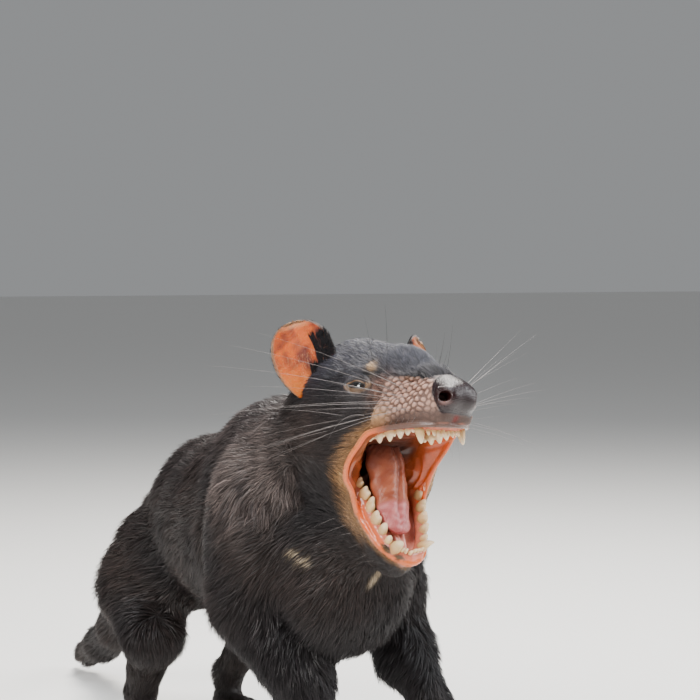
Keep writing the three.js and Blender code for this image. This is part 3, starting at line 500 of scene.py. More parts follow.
def nose_form(q, v):
    """Pad of the nose: two wings, a groove below, and a comma-shaped nostril on each side with a raised rim."""
    for s in PAIR:
        v = join(v, ball(q, (107, s * 6.6 - 1, 18.5), (8.0, 7.4, 8.5)), 3)
        v = join(v, bone(q, (84, s * 12, 9), (98, s * 8, 7.5), 8.5, 6.6), 6)
        v = join(v, bone(q, (109.0, s * 10.6 - 1, 13.9), (105.5, s * 13.6 - 1, 15.5), 1.5, 1.2), 1.6)
        v = join(v, bone(q, (110.5, s * 8.6 - 1, 21.8), (104.5, s * 13.4 - 1, 23.4), 1.6, 1.2), 2.0)
    v = carve(v, bone(q, (117.5, -1, 17), (110.5, -1, 5), 0.7, 0.9), 1.6)
    for s in PAIR:
        v = carve(v, bone(q, (112.0, s * 13.5 - 1, 17.8), (101.0, s * 8.0 - 1, 18.5), 3.7, 2.6), 1.2)
        v = carve(v, bone(q, (109.0, s * 13.6 - 1, 18.6), (102.0, s * 16.2 - 1, 20.6), 1.9, 0.5), 1.2)
    return v


# Folds of the inner cheek, by distance from the jaw's hinge
CHEEK_FOLDS = (23, 28.5, 34, 40, 46)


def mouth_form(q, v):
    """The cavity with its throat, the pocket beside the tongue, the folds of the cheeks, the ridged
    palate, the gums and the rim of the lips."""
    m = to_mouth(q)
    wall, lip, out = mouth_fields(m)
    rugae = 0.35 * np.sin(m[:, 0] * 1.25 + 0.02 * m[:, 1] ** 2) * ease(-np.abs(m[:, 1]), -17, -12)
    reach, angle = np.hypot(m[:, 0], m[:, 2]), angle_below(m)
    bent = reach - 0.10 * (angle - 30) + 1.5 * ripple(m, 24, 96)
    folds = sum(hump(bent, at, 1.5) for at in CHEEK_FOLDS)
    folds = folds * ease(np.abs(m[:, 1]), 9, 15) * ease(angle, 6, 14) * ease(-angle, -54, -46)
    v = carve(v, wall - rugae * (m[:, 2] > -14) + 1.1 * np.clip(folds, 0, 1), 2.0)
    cheek = np.maximum(np.abs(wall - 0.8) - 0.8, 60 * np.maximum(out - 0.985, 0.15 - out))
    v = join(v, cheek, 1.5)
    v = carve(v, bone(m, between(30, 18, -2), between(2, 20, 0), 8, 8), 3)
    v = carve(v, bone(m, between(36, 35, -16), between(8, 37, -13), 5.0, 5.5), 2)
    v = join(v, tubes(m, UPPER_PATH, 3.3, 1.0), 2.0)
    v = join(v, tubes(m, LOWER_PATH - jaw((0, 0, 1.2)), 3.8, 1.0), 2.0)
    v = join(v, lip_floor(m), 1.5)
    for y in (-3.4, 1.2):
        v = join(v, bone(m, jaw((62, y * 1.3, -2.0)), jaw((82, y * 0.5 - 0.6, -4.6)), 2.5, 1.3), 1.5)
    return join(v, lip, 1.8)


def head_skin(h):
    """Surface of the skin of the head, with the mouth, nostrils and eye sockets cut into it."""
    p = head(h)
    value = mass(p, h) + coat_depth(p, h)
    face = (size_of(h - np.array([45.0, 0, -5])) < 108) & (h[:, 0] > -14)
    q, v = h[face], value[face]
    for wrinkle in WRINKLES:
        v = join(v, bone(q, *wrinkle), 1.8)
    v = nose_form(q, v) - BEAD_RISE * bead_zone(q) * bead_height(q)
    for s in PAIR:
        v = carve(v, size_of(q - EYES[s][0]) - SOCKET_RADIUS, 0.8)
    value[face] = mouth_form(q, v)
    return np.maximum(value, -ahead_of_seam(p))


def body_skin(p):
    """Surface of the skin of the trunk, legs and tail, ending inside the head's piece."""
    h = to_head(p)
    ahead = ahead_of_seam(p)
    value = mass(p, h) + coat_depth(p, h) + 0.6 * ease(ahead, -2, 1)
    return np.maximum(value, ahead - 4)


# Mesh of a field on a grid whose spacing suits each part
def spaced(*spans):
    """Grid lines from spans of (start, stop, step)."""
    rows = [np.arange(a, b - 0.3 * step / FINE, step / FINE) for a, b, step in spans]
    return np.concatenate(rows + [[spans[-1][1]]])


def field_on_grid(field, axes):
    """Values on the grid's points: a coarse grid first, then only the fine points near the surface."""
    stride, far = 4, 50.0
    picks = [np.unique(np.append(np.arange(0, len(a), stride), len(a) - 1)) for a in axes]
    coarse = [a[k] for a, k in zip(axes, picks)]
    rough = field(np.stack(np.meshgrid(*coarse, indexing="ij"), -1).reshape(-1, 3))
    rough = rough.reshape([len(a) for a in coarse])
    low = np.abs(rough)
    for axis in range(3):
        ahead, behind = [slice(None)] * 3, [slice(None)] * 3
        ahead[axis], behind[axis] = slice(1, None), slice(None, -1)
        low = np.minimum(low[tuple(ahead)], low[tuple(behind)])
    wide = [np.diff(a) for a in coarse]
    reach = np.sqrt(wide[0][:, None, None] ** 2 + wide[1][:, None] ** 2 + wide[2] ** 2)
    cell = [np.clip(np.searchsorted(k, np.arange(len(a)), "right") - 1, 0, len(k) - 2) for k, a in zip(picks, axes)]
    near = (low < 0.75 * reach + 1.5)[np.ix_(*cell)]
    for axis in range(3):
        near |= np.roll(near, 1, axis)
    value = np.where(rough < 0, -far, far).astype(np.float32)[np.ix_(*cell)]
    spot = np.nonzero(near)
    value[spot] = field(np.stack([a[k] for a, k in zip(axes, spot)], 1))
    return value


def net(field, axes):
    """Mesh of the zero level: one point in each grid cell that the surface crosses, at the mean of
    its edge crossings and then slid onto the surface, and one quad for each crossed grid edge.
    Returns points, quads facing outward, and the field's slope at each point."""
    value = field_on_grid(field, axes)
    sign = value < 0
    corners = [(i, j, k) for i in (0, 1) for j in (0, 1) for k in (0, 1)]
    nx, ny, nz = value.shape

    def shifted(grid, c):
        return grid[c[0]:nx - 1 + c[0], c[1]:ny - 1 + c[1], c[2]:nz - 1 + c[2]]

    some = np.zeros((nx - 1, ny - 1, nz - 1), bool)
    every = ~some
    for c in corners:
        some |= shifted(sign, c)
        every &= shifted(sign, c)
    cells = np.argwhere(some & ~every)
    number = np.full(some.shape, -1, np.int64)
    number[tuple(cells.T)] = np.arange(len(cells))
    at = np.zeros((len(cells), 3))
    crossed = np.zeros(len(cells))
    for a in corners:
        for axis in range(3):
            if a[axis]:
                continue
            b = tuple(1 if k == axis else a[k] for k in range(3))
            va = value[tuple((cells + a).T)].astype(float)
            vb = value[tuple((cells + b).T)].astype(float)
            hit = (va < 0) != (vb < 0)
            t = np.where(hit, va / np.where(hit, va - vb, 1), 0)
            point = np.tile(np.array(a, float), (len(cells), 1))
            point[:, axis] = t
            at += point * hit[:, None]
            crossed += hit
    at /= crossed[:, None]
    low = np.stack([axes[k][cells[:, k]] for k in range(3)], 1)
    high = np.stack([axes[k][cells[:, k] + 1] for k in range(3)], 1)
    points = low + at * (high - low)
    slope, nudge = None, 0.1
    for _ in range(2):
        here = field(points)
        slope = np.stack([(field(points + step) - here) / nudge for step in nudge * np.eye(3)], 1)
        steep = np.maximum((slope * slope).sum(1), 0.05)
        move = slope * (here / steep)[:, None]
        limit = 0.5 * (high - low).max(1)
        move *= np.minimum(1, limit / np.maximum(size_of(move), 1e-6))[:, None]
        points = points - move
    quads = []
    inner = [slice(1, n - 1) for n in (nx, ny, nz)]
    for axis in range(3):
        span = list(inner)
        span[axis] = slice(0, value.shape[axis] - 1)
        ahead = list(span)
        ahead[axis] = slice(1, value.shape[axis])
        a, b = sign[tuple(span)], sign[tuple(ahead)]
        spot = np.argwhere(a != b) + [s.start for s in span]
        u, w = (axis + 1) % 3, (axis + 2) % 3
        ring = []
        for du, dw in ((-1, -1), (0, -1), (0, 0), (-1, 0)):
            cell = spot.copy()
            cell[:, u] += du
            cell[:, w] += dw
            ring.append(number[tuple(cell.T)])
        ring = np.stack(ring, 1)
        outward = sign[tuple(spot.T)]
        quads.append(np.where(outward[:, None], ring, ring[:, ::-1]))
    return points, np.concatenate(quads), unit(slope)


# Making objects
def to_row(p):
    """Metres in the row's frame, from plan millimetres."""
    return (np.asarray(p, float) + PLAN_TO_ROW) * 0.001


def attribute(mesh, name, values):
    """Point attribute: a number, or a colour where there are three numbers a point."""
    values = np.asarray(values, np.float32)
    if values.ndim == 1:
        mesh.attributes.new(name, "FLOAT", "POINT").data.foreach_set("value", values)
    else:
        rgba = np.concatenate([values, np.ones((len(values), 1), np.float32)], 1)
        mesh.attributes.new(name, "FLOAT_COLOR", "POINT").data.foreach_set("color", rgba.ravel())


def make(name, points, faces, material, slot, nodes=(), normals=None, **attributes):
    """One smooth object from plan points and equal-sided faces, with nothing below the floor. Faces of
    several sizes come as a list."""
    groups = faces if isinstance(faces, list) else [faces]
    groups = [np.asarray(g) for g in groups if len(g)]
    mesh = bpy.data.meshes.new(name)
    mesh.vertices.add(len(points))
    points = np.maximum(to_row(points), [-np.inf, -np.inf, 0])
    mesh.vertices.foreach_set("co", points.astype(np.float32).ravel())
    corners = np.concatenate([g.ravel() for g in groups]).astype(np.int32)
    counts = np.concatenate([np.full(len(g), g.shape[1]) for g in groups])
    mesh.loops.add(len(corners))
    mesh.loops.foreach_set("vertex_index", corners)
    mesh.polygons.add(len(counts))
    starts = np.concatenate([[0], np.cumsum(counts)[:-1]]).astype(np.int32)
    mesh.polygons.foreach_set("loop_start", starts)
    mesh.polygons.foreach_set("use_smooth", np.ones(len(counts), bool))
    mesh.update(calc_edges=True)
    for key, values in attributes.items():
        attribute(mesh, key, values)
    if normals is not None:
        mesh.normals_split_custom_set_from_vertices(np.asarray(normals, np.float32))
    mesh.materials.append(material)
    obj = bpy.data.objects.new(name, mesh)
    bpy.context.scene.collection.objects.link(obj)
    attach(obj, "root")
    if nodes:
        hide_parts(*nodes)
    return obj


def lofted(rings, closed=False):
    """Points and faces of a surface through rings (rings, sides, 3), with a fan over each end."""
    rings = np.asarray(rings, float)
    n, m = rings.shape[:2]
    points = rings.reshape(-1, 3)
    r = np.arange(n if closed else n - 1)[:, None]
    s = np.arange(m)[None, :]
    a, b = r * m + s, r * m + (s + 1) % m
    c, d = ((r + 1) % n) * m + (s + 1) % m, ((r + 1) % n) * m + s
    quads = np.stack([a, b, c, d], -1).reshape(-1, 4)
    if closed:
        return points, [quads]
    points = np.concatenate([points, rings[:1].mean(1), rings[-1:].mean(1)])
    s = np.arange(m)
    first = np.stack([np.full(m, n * m), (s + 1) % m, s], 1)
    last = np.stack([np.full(m, n * m + 1), (n - 1) * m + s, (n - 1) * m + (s + 1) % m], 1)
    return points, [quads, np.concatenate([first, last])]


def outward(points, groups):
    """The same faces, turned round if they enclose a negative volume."""
    volume = 0.0
    for g in groups:
        a = points[g[:, 0]]
        for k in range(1, g.shape[1] - 1):
            volume += (a * np.cross(points[g[:, k]], points[g[:, k + 1]])).sum()
    return [g if volume > 0 else g[:, ::-1] for g in groups]


def gather(parts):
    """One set of points and faces from many (points, groups) pairs."""
    points, by_size, start = [], {}, 0
    for p, groups in parts:
        for g in outward(p, groups):
            by_size.setdefault(g.shape[1], []).append(g + start)
        points.append(p)
        start += len(p)
    return np.concatenate(points), [np.concatenate(g) for g in by_size.values()]


# Materials
def material(name, **values):
    """Material with one principled shader. Returns the material, its node tree and the shader."""
    made = bpy.data.materials.new(name)
    made.use_nodes = True
    tree = made.node_tree
    shader = tree.nodes["Principled BSDF"]
    for key, value in values.items():
        shader.inputs[key.replace("_", " ")].default_value = value
    return made, tree, shader


def node(tree, kind, **inputs):
    """Shader node of a kind. An input takes a value or another node's socket, and other names are settings."""
    made = tree.nodes.new("ShaderNode" + kind)
    for key, value in inputs.items():
        target = made.inputs.get(key.replace("_", " "))
        if target is None:
            setattr(made, key, value)
        elif isinstance(value, bpy.types.NodeSocket):
            tree.links.new(value, target)
        else:
            target.default_value = value
    return made


def math_node(tree, operation, a, b):
    """Result of one sum on two values or sockets."""
    made = tree.nodes.new("ShaderNodeMath")
    made.operation = operation
    for socket, value in zip(made.inputs, (a, b)):
        if isinstance(value, bpy.types.NodeSocket):
            tree.links.new(value, socket)
        else:
            socket.default_value = value
    return made.outputs[0]


def read(tree, name, output="Fac"):
    """Socket with a point attribute."""
    made = tree.nodes.new("ShaderNodeAttribute")
    made.attribute_name = name
    return made.outputs[output]


def hide_material(name, **values):
    """Bare and thinly haired skin: the tone, wetness and roughness come from point attributes."""
    made, tree, shader = material(name, Roughness=0.5, **values)
    shader.inputs["Subsurface Radius"].default_value = (1.0, 0.35, 0.2)
    where = node(tree, "TexCoord").outputs["Object"]
    grain = node(tree, "TexNoise", Vector=where, Scale=900.0, Detail=3.0).outputs["Fac"]
    pebbles = node(tree, "TexVoronoi", Vector=where, Scale=1300.0, Randomness=0.8).outputs["Distance"]
    grain_height = math_node(tree, "MULTIPLY", grain, read(tree, "Grain"))
    stone_height = math_node(tree, "MULTIPLY", math_node(tree, "SUBTRACT", 0.5, pebbles), read(tree, "Pebbles"))
    height = math_node(tree, "ADD", grain_height, stone_height)
    bump = node(tree, "Bump", Strength=1.0, Distance=0.0022, Height=height)
    tree.links.new(bump.outputs[0], shader.inputs["Normal"])
    speck = math_node(tree, "ADD", math_node(tree, "MULTIPLY", grain, 0.5), 0.75)
    tone = node(tree, "VectorMath", operation="SCALE")
    tree.links.new(read(tree, "Tone", "Color"), tone.inputs[0])
    tree.links.new(speck, tone.inputs["Scale"])
    tree.links.new(tone.outputs[0], shader.inputs["Base Color"])
    rough = math_node(tree, "SUBTRACT", 0.62, math_node(tree, "MULTIPLY", read(tree, "Wet"), 0.42))
    tree.links.new(rough, shader.inputs["Roughness"])
    return made


def toned_material(name, grain=0.0, grain_scale=1500.0, **values):
    """Material whose colour is the point attribute Tone, with a fine bump where asked."""
    made, tree, shader = material(name, **values)
    tree.links.new(read(tree, "Tone", "Color"), shader.inputs["Base Color"])
    if grain:
        where = node(tree, "TexCoord").outputs["Object"]
        noise = node(tree, "TexNoise", Vector=where, Scale=grain_scale, Detail=3.0).outputs["Fac"]
        bump = node(tree, "Bump", Strength=1.0, Distance=grain, Height=noise)
        tree.links.new(bump.outputs[0], shader.inputs["Normal"])
    return made


HIDE = hide_material("hide", Subsurface_Weight=0.08, Subsurface_Scale=0.004)
NOSE_SKIN = hide_material("nose leather", Specular_IOR_Level=0.5)
FUR = toned_material("fur", Roughness=0.45, Specular_IOR_Level=0.3)
ENAMEL = toned_material("enamel", grain=0.0003, Roughness=0.22, Subsurface_Weight=0.12, Subsurface_Scale=0.003)
TONGUE_SKIN = toned_material("tongue", grain=0.0004, grain_scale=1100.0, Roughness=0.30,
                             Subsurface_Weight=0.15, Subsurface_Scale=0.004)
EAR_SKIN = toned_material("ear skin", grain=0.0006, grain_scale=700.0, Roughness=0.6,
                          Subsurface_Weight=0.35, Subsurface_Scale=0.008)
HORN = toned_material("horn", grain=0.0004, Roughness=0.4)
EYE = toned_material("eye", Roughness=0.03, Coat_Weight=1.0, Coat_Roughness=0.02)
WHISKER = toned_material("whisker", Roughness=0.35)


def streak_turn(start, end, away):
    """Axes of a streak: along it, away from the skin and across it."""
    along = unit(np.subtract(end, start))
    away = unit(away - along * (along @ away))
    return np.array([along, away, np.cross(along, away)])


# Colours, linear
BLACK = np.array([0.0070, 0.0062, 0.0076])
BROWN = np.array([0.026, 0.0175, 0.0150])
GREY = np.array([0.088, 0.068, 0.062])
# Bluish slate is a painted sheen: light from above caught on the tops of the forehead and the muzzle
SLATE_SHEEN = np.array([0.046, 0.047, 0.061])
TAN = np.array([0.38, 0.205, 0.088])
CREAM = np.array([0.78, 0.62, 0.42])
BROW_TUFT = np.array([0.46, 0.30, 0.17])
BEAD = np.array([0.40, 0.225, 0.165])
BEAD_GAP = np.array([0.105, 0.053, 0.038])
UMBER = np.array([0.060, 0.032, 0.024])
PEACH = np.array([0.56, 0.165, 0.055])
ORANGE = np.array([0.74, 0.115, 0.022])
BLUSH = np.array([0.74, 0.34, 0.27])
FLESH = np.array([0.33, 0.075, 0.028])
NOSE = np.array([0.012, 0.0040, 0.0052])

CHEST_MARKS = [
    # middle, turn, and half length, half depth and half width
    ((89.6, -40.9, 187.1), streak_turn([81.7, -47.4, 193.3], [97.5, -34.4, 180.9], [0.6, -0.75, 0]), (12, 13, 1.9)),
    ((111.7, 7, 173.5), streak_turn([109, 0, 165], [113, 14, 181], [0.8, 0, -0.6]), (10, 13, 2.8)),
    ((92, 38, 188), streak_turn([80, 46, 192], [100, 30, 184], [-0.55, 0.75, 0]), (11, 13, 3.2)),
]
RUFF = [
    # middle and radii of the greyer coat behind the cheeks
    ((52, -60, 262), (30, 40, 34)), ((66, -50, 236), (24, 34, 26)), ((30, -66, 236), (26, 30, 22)),
    ((52, 64, 262), (30, 40, 34)), ((30, 66, 236), (26, 30, 22)),
]
FACE_SPOTS = [
    # colour, strength, middle and radii of the spots that both sides of the head carry
    (BLACK * 1.15, 0.9, (18, 44, 34), (17, 20, 16)),
    (BROWN * 1.3, 0.7, (4, 50, 8), (16, 16, 20)),
    (BLACK * 1.3, 0.9, (49, 34, 26), (9, 10, 9)),
    (BEAD_GAP * 1.6, 0.9, (60, 27, 30), (10, 10, 9)),
    (BROW_TUFT, 1.2, (51, 27.5, 45.5), (3.0, 4.0, 4.6)),
    # The last two spots are painted shade: a black crease between the brow tuft and the eye
    (BLACK, 1.2, (48, 30, 42), (7.5, 5, 2.6)),
    (BLACK, 1.1, (57, 25, 42), (5, 4.5, 3.0)),
]


def tint(base, colour, weight):
    """Tones moved towards a colour by a weight for each point."""
    return base + (np.asarray(colour) - base) * np.clip(weight, 0, 1)[:, None]


def chest_mark(p):
    """1 on the cream marks of the chest: three narrow streaks."""
    return np.maximum.reduce([
        1 - ease(size_of((p - middle_at) @ turn.T / half), 0.5, 1.15) for middle_at, turn, half in CHEST_MARKS
    ])


def coat_tone(p, h, marked=True):
    """Colour of the coat: black brown, greyer over the neck, with a painted grey sheen along the top of the back and
    shoulders and a painted slate sheen on the forehead, painted shade under the throat and on the lower chest, tan
    round the corner of the mouth, with a pale tuft at the brow and cream patches on the chest."""
    m = to_mouth(h)
    reach, angle = np.hypot(m[:, 0], m[:, 2]), angle_below(m)
    lip = mouth_fields(m)[1]
    tone = np.tile(BLACK, (len(p), 1))
    patch = 0.5 + 0.5 * ripple(p, 70, 11)
    tone = tint(tone, BROWN, 0.40 + 0.30 * patch)
    # Painted sheen: the top of the back and shoulders is tinted bluish grey where light catches it
    back = ease(p[:, 2], 200, 290) * ease(-h[:, 0], 10, 60)
    tone = tint(tone, GREY * [0.72, 0.74, 0.80], 0.40 * back)
    ruff = sum(bell(p, at, radii) for at, radii in RUFF)
    tone = tint(tone, GREY * 1.15, 0.75 * ruff * (0.75 + 0.35 * ripple(p, 22, 12)))
    on_head = ease(h[:, 0], -18, 14)
    # Painted sheen: slate over the top of the head, strongest on the crown
    tone = tint(tone, SLATE_SHEEN, 0.85 * on_head * ease(h[:, 2], 22, 52))
    tone = tint(tone, SLATE_SHEEN * 1.5, 0.55 * bell(h, (50, 0, 58), (24, 20, 18)) * (0.7 + 0.3 * ripple(h, 8, 13)))
    # Painted shade under the jaw and on the throat
    tone = tint(tone, BLACK * 1.2, 0.9 * bell(h * [1, 0, 1], (-8, 0, -46), (26, 30, 26)))
    for s in PAIR:
        for colour, strength, at, radii in FACE_SPOTS:
            tone = tint(tone, colour, strength * bell(h * [1, s, 1], at, radii))
    hug = (1 - ease(lip, 3.5, 13)) * on_head * ease(reach, 22, 34)
    corner = hug * (1 - ease(reach, 56, 78)) * ease(angle, -16, -6) * (1 - 0.55 * ease(angle, 46, 62))
    tone = tint(tone, TAN, 1.15 * corner)
    fringe = (1 - ease(lip, 1.6, 4.0)) * on_head * ease(angle, 40, 55)
    tone = tint(tone, TAN * 0.6, 0.65 * fringe)
    tone = tint(tone, BROWN * 1.2, 0.8 * bell(h, (-22, 0, -72), (30, 40, 22)))
    shade = ease(-p[:, 2], -175, -120) * ease(p[:, 0], -60, 40)
    tone = tint(tone, BLACK, 0.7 * shade)
    return tint(tone, CREAM, chest_mark(p)) if marked else tone


def lower(values, cutoff, soft):
    """1 below a value and 0 above it."""
    return 1 - ease(values, cutoff, cutoff + soft)


class Face:
    """Masks over points of the head's skin: inside the mouth, on the lips, the nose, the muzzle and so on."""

    def __init__(self, h, normals):
        self.h, self.m = h, to_mouth(h)
        self.wall, self.lip, self.out = mouth_fields(self.m)
        self.angle = angle_below(self.m)
        self.jaws = to_jaw(self.m)
        near = (size_of(h - np.array([45.0, 0, -30])) < 98) & (h[:, 0] > -10)
        away = self.m - THROAT
        away = unit(away - MOUTH_AXIS * (away @ MOUTH_AXIS)[:, None])
        inward = ease(-(normals @ ROLL * away).sum(1), 0.0, 0.3)
        facing = lower(self.wall, 5.0, 1.5) * inward * ease(self.angle, -1, 4)
        inner = np.maximum(lower(self.wall, 0.8, 1.0), facing)
        low = np.array(LOWER_LIP)
        within = np.interp(self.jaws[:, 0], low[:, 0], low[:, 1]) - np.abs(self.jaws[:, 1])
        above = self.jaws[:, 2] - np.interp(self.jaws[:, 0], low[:, 0], low[:, 2])
        within *= 1 - 0.6 * ease(self.jaws[:, 0], 76, 88)
        self.trough = near * ease(within, -1.5, -0.5) * ease(above, -2.4, -1.2) * ease(self.angle, 30, 36)
        self.mouth = np.maximum(near * inner * lower(self.out, 1.0, 0.05), self.trough)
        self.rim = near * lower(self.lip, 0.45, 0.75) * ease(self.wall, -8, -5)
        plane = (h - np.array([102, 0, 19])) @ unit([0.94, 0, 0.34])
        bend = 0.10 * np.abs(h[:, 1] + 1) - 0.05 * (h[:, 2] - 19)
        self.nose = ease(plane + bend, -1.0, 0.6) * ease(h[:, 2], 6.5, 8.5)
        self.muzzle = ease(h[:, 0], 46, 60) * (1 - self.nose) * ease(-self.angle, -12, 0)


def mouth_tone(face):
    """Orange brown cheeks and palate with a painted glow of light shining through the left cheek and palate,
    pale pink floor in front, and painted shade, nearly black, towards the throat.
    """
    m, jaws = face.m, face.jaws
    tone = np.tile(FLESH * 0.72, (len(m), 1))
    tone = tint(tone, FLESH * [1.15, 1.0, 0.8], 0.5 + 0.5 * ripple(m, 13, 91))
    # Painted glow: light shining through the palate and the left cheek beside the upper gum
    tone = tint(tone, ORANGE * [0.62, 0.75, 0.7], 0.9 * bell(m, (62, 14, 4), (16, 12, 9)))
    # Painted glow where light shines through the thin left cheek near the lips
    tone = tint(tone, ORANGE * [0.75, 0.8, 0.8], 0.8 * ease(face.out, 0.6, 0.85) * ease(m[:, 1], 13, 21))
    tone = tint(tone, TAN * [0.7, 0.5, 0.42], 0.7 * bell(m, (42, -26, -6), (11, 8, 12)))
    tone = tint(tone, BLUSH * [0.92, 0.8, 0.8], ease(face.angle, 42, 52) * ease(jaws[:, 0], 44, 60))
    gums = np.minimum(tubes(m, UPPER_PATH[::2], 3.6, 1.0), tubes(m, LOWER_PATH[::2], 3.9, 1.0))
    tone = tint(tone, BLUSH * [0.72, 0.42, 0.28], 0.75 * lower(gums, 0.4, 0.8))
    groove = hump(m[:, 1], -1.8, 0.8) * ease(jaws[:, 0], 62, 70) * (face.angle > 40)
    tone = tint(tone, (0.55, 0.16, 0.12), 0.7 * groove)
    tone = tint(tone, ORANGE * [0.9, 0.95, 1.0], 0.85 * face.trough * lower(face.lip, 2.2, 2.6))
    # Painted shade: the flesh goes nearly black deep in the mouth towards the throat
    tone = tint(tone, FLESH * 0.08, lower(face.out, 0.18, 0.46))
    return tone


def rim_tone(face):
    """Peach outside and orange red inside, dark brown in front above the teeth, redder round the chin."""
    m = face.m
    tone = np.tile(PEACH, (len(m), 1))
    tone = tint(tone, ORANGE, lower(face.wall, -1.6, 2.4))
    tone = tint(tone, PEACH * [1.05, 0.8, 0.6], 0.35 + 0.35 * ripple(m, 12, 92))
    front = ease(m[:, 0], 52, 70) * (face.angle < 20)
    tone = tint(tone, UMBER * 2.0, front * ease(face.wall, -4.2, -2.2))
    tone = tint(tone, ORANGE * [0.9, 1.3, 1.6], 0.6 * ease(face.jaws[:, 0], 62, 84) * (face.angle > 30))
    return tone


def hide_tone(p, face):
    """Tones of the head's skin, one zone laid over the other."""
    h = face.h
    hill = bead_height(h)
    tone = coat_tone(p, h) * 0.8
    pad = tint(np.tile(BEAD_GAP, (len(h), 1)), BEAD, 0.06 + 0.94 * ease(hill, 0.15, 0.75))
    tone = tint(tone, pad, face.muzzle * ease(-h[:, 2], -42, -34))
    # Painted slate sheen along the top of the muzzle
    tone = tint(tone, SLATE_SHEEN * [0.9, 0.8, 0.75], face.muzzle * ease(h[:, 2] + 0.22 * (h[:, 0] - 77), 34, 38) * 0.8)
    tone = tint(tone, TAN * [0.62, 0.58, 0.5], 0.6 * bell(np.abs(h), (80, 15, 37), (15, 4.0, 2.4)))
    tone = tint(tone, TAN * 0.95, 0.9 * bell(np.abs(h), (57, 30, 10), (10, 9, 8)) * (h[:, 2] > -8))
    tone = tint(tone, UMBER * 1.25, 0.9 * face.muzzle * lower(h[:, 2], 8.0, 6.0) * ease(h[:, 0], 60, 76))
    tone = tint(tone, UMBER, 0.75 * face.muzzle * lower(np.abs(h[:, 1] + 1), 8.0, 8.0) * lower(h[:, 2], 22, 8))
    tone = tint(tone, mouth_tone(face), face.mouth)
    tone = tint(tone, rim_tone(face), face.rim)
    tone = tint(tone, (0.13, 0.010, 0.006), 1.1 * bell(h, (104, -0.5, 5.5), (6, 2.2, 2.6)))
    tone = tint(tone, NOSE, face.nose)
    for s in PAIR:
        wing, edge, hole = (108, s * 10.5 - 1, 17.5), (108.8, s * 11 - 1, 13.8), (106, s * 9.5 - 1, 18.2)
        tone = tint(tone, (0.055, 0.012, 0.010), face.nose * bell(h, wing, (5, 4.2, 4.2)))
        tone = tint(tone, (0.30, 0.15, 0.13), face.nose * 0.8 * bell(h, edge, (3, 3, 1.1)))
        # Painted shade inside each nostril
        tone = tint(tone, BLACK * 0.4, face.nose * bell(h, hole, (5, 2.6, 2.4)))
    return tone


# The skin, parted into pieces that share one surface: the head's net lies in the head's frame
head_grid = [
    spaced((-66, 6, 2.2), (6, 22, 1.4), (22, 60, 0.9), (60, 94, 0.62), (94, 119, 0.5)),
    spaced((-66, -40, 1.6), (-40, -8, 0.65), (-8, 34, 0.8), (34, 66, 1.6)),
    spaced((-106, -60, 1.1), (-60, -8, 0.9), (-8, 42, 0.65), (42, 90, 1.6)),
]
body_grid = [
    spaced((-522, -270, 3.6), (-270, -150, 2.4), (-150, 60, 3.6), (60, 150, 2.0)),
    spaced((-104, -76, 3.4), (-76, 106, 2.3)),
    spaced((-6, 36, 1.7), (36, 330, 3.4)),
]
head_points, head_quads, head_normals = net(head_skin, head_grid)
body_points, body_quads, body_normals = net(body_skin, body_grid)
FACE = Face(head_points, head_normals)
head_points, head_normals = head(head_points), head_normals @ HEAD.T
body_points[:, 2] = np.maximum(body_points[:, 2], 0.0)


def middle(values):
    """Mean of a value over the corners of each of the head's quads."""
    return values[head_quads].mean(1)


# Quads of the head by the number of their piece in PARTS
kinds = np.zeros(len(head_quads), int)
kinds[middle(FACE.nose) > 0.5] = 1
kinds[middle(FACE.rim) > 0.5] = 3
kinds[(middle(FACE.mouth) > 0.5) & (kinds == 0)] = 2
BODY_NODES = [
    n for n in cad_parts
    if n.startswith(("chest", "belly", "rump", "foreleg", "hindleg", "forepaw", "hindpaw", "tail"))
]
PARTS = [
    ("skin_head", "coat", ["head", "neck", "lower_jaw", "muzzle", "cheek_left", "cheek_right", "whisker_pad_left",
                           "whisker_pad_right"]),
    ("nose_pad", "nose", ["nose"]),
    ("mouth_flesh", "mouth", ["mouth_lining"]),
    ("lip_rims", "lips", ["lips"]),
]
traits = {
    "Tone": hide_tone(head_points, FACE),
    "Grain": 0.12 + 0.14 * FACE.muzzle - 0.09 * np.clip(FACE.rim + FACE.mouth + FACE.nose, 0, 1),
    "Pebbles": 0.10 * FACE.nose,
    "Wet": np.clip(FACE.mouth * (0.6 + 0.4 * ease(FACE.out, 0.3, 0.6)) + 1.05 * FACE.nose
                   + FACE.rim * (0.2 + 0.5 * ease(FACE.angle, 0, 14)), 0, 1.1),
}
for kind, (name, slot, nodes) in enumerate(PARTS):
    part = head_quads[kinds == kind]
    used, index = np.unique(part, return_inverse=True)
    make(name, head_points[used], index.reshape(part.shape), NOSE_SKIN if slot == "nose" else HIDE, slot, nodes,
         normals=head_normals[used], **{key: values[used] for key, values in traits.items()})
body_tone = coat_tone(body_points, to_head(body_points)) * 0.8
sole = ease(-body_points[:, 2], -5, -1)
make("skin_body", body_points, body_quads, HIDE, "coat", BODY_NODES, normals=body_normals,
     Tone=tint(body_tone, (0.10, 0.075, 0.07), sole), Grain=0.2 + 0 * sole, Pebbles=0.3 * sole, Wet=0 * sole)


# Eyeballs and lids
def sphere_rings(rows, sides):
    """Rings of a unit sphere from pole to pole."""
    t = np.linspace(0, math.pi, rows)[:, None]
    f = turn_steps(sides)[None, :]
    return np.stack([np.sin(t) * np.cos(f), np.sin(t) * np.sin(f), np.cos(t) + 0 * f], -1)


SLIT_HALF, SLIT_UP, SLIT_DOWN = 6.5, 1.7, 1.75
LID_LONG, LID_HIGH = 11.6, 10.2
# Places of a lid's rings, from the edge of the slit (0) to where it sinks under the skin (1)
LID_STEPS = np.array([0, 0.012, 0.03, 0.06, 0.09, 0.12, 0.16, 0.2, 0.25, 0.3, 0.35, 0.4, 0.46, 0.54, 0.64,
                      0.76, 0.88, 1.0])


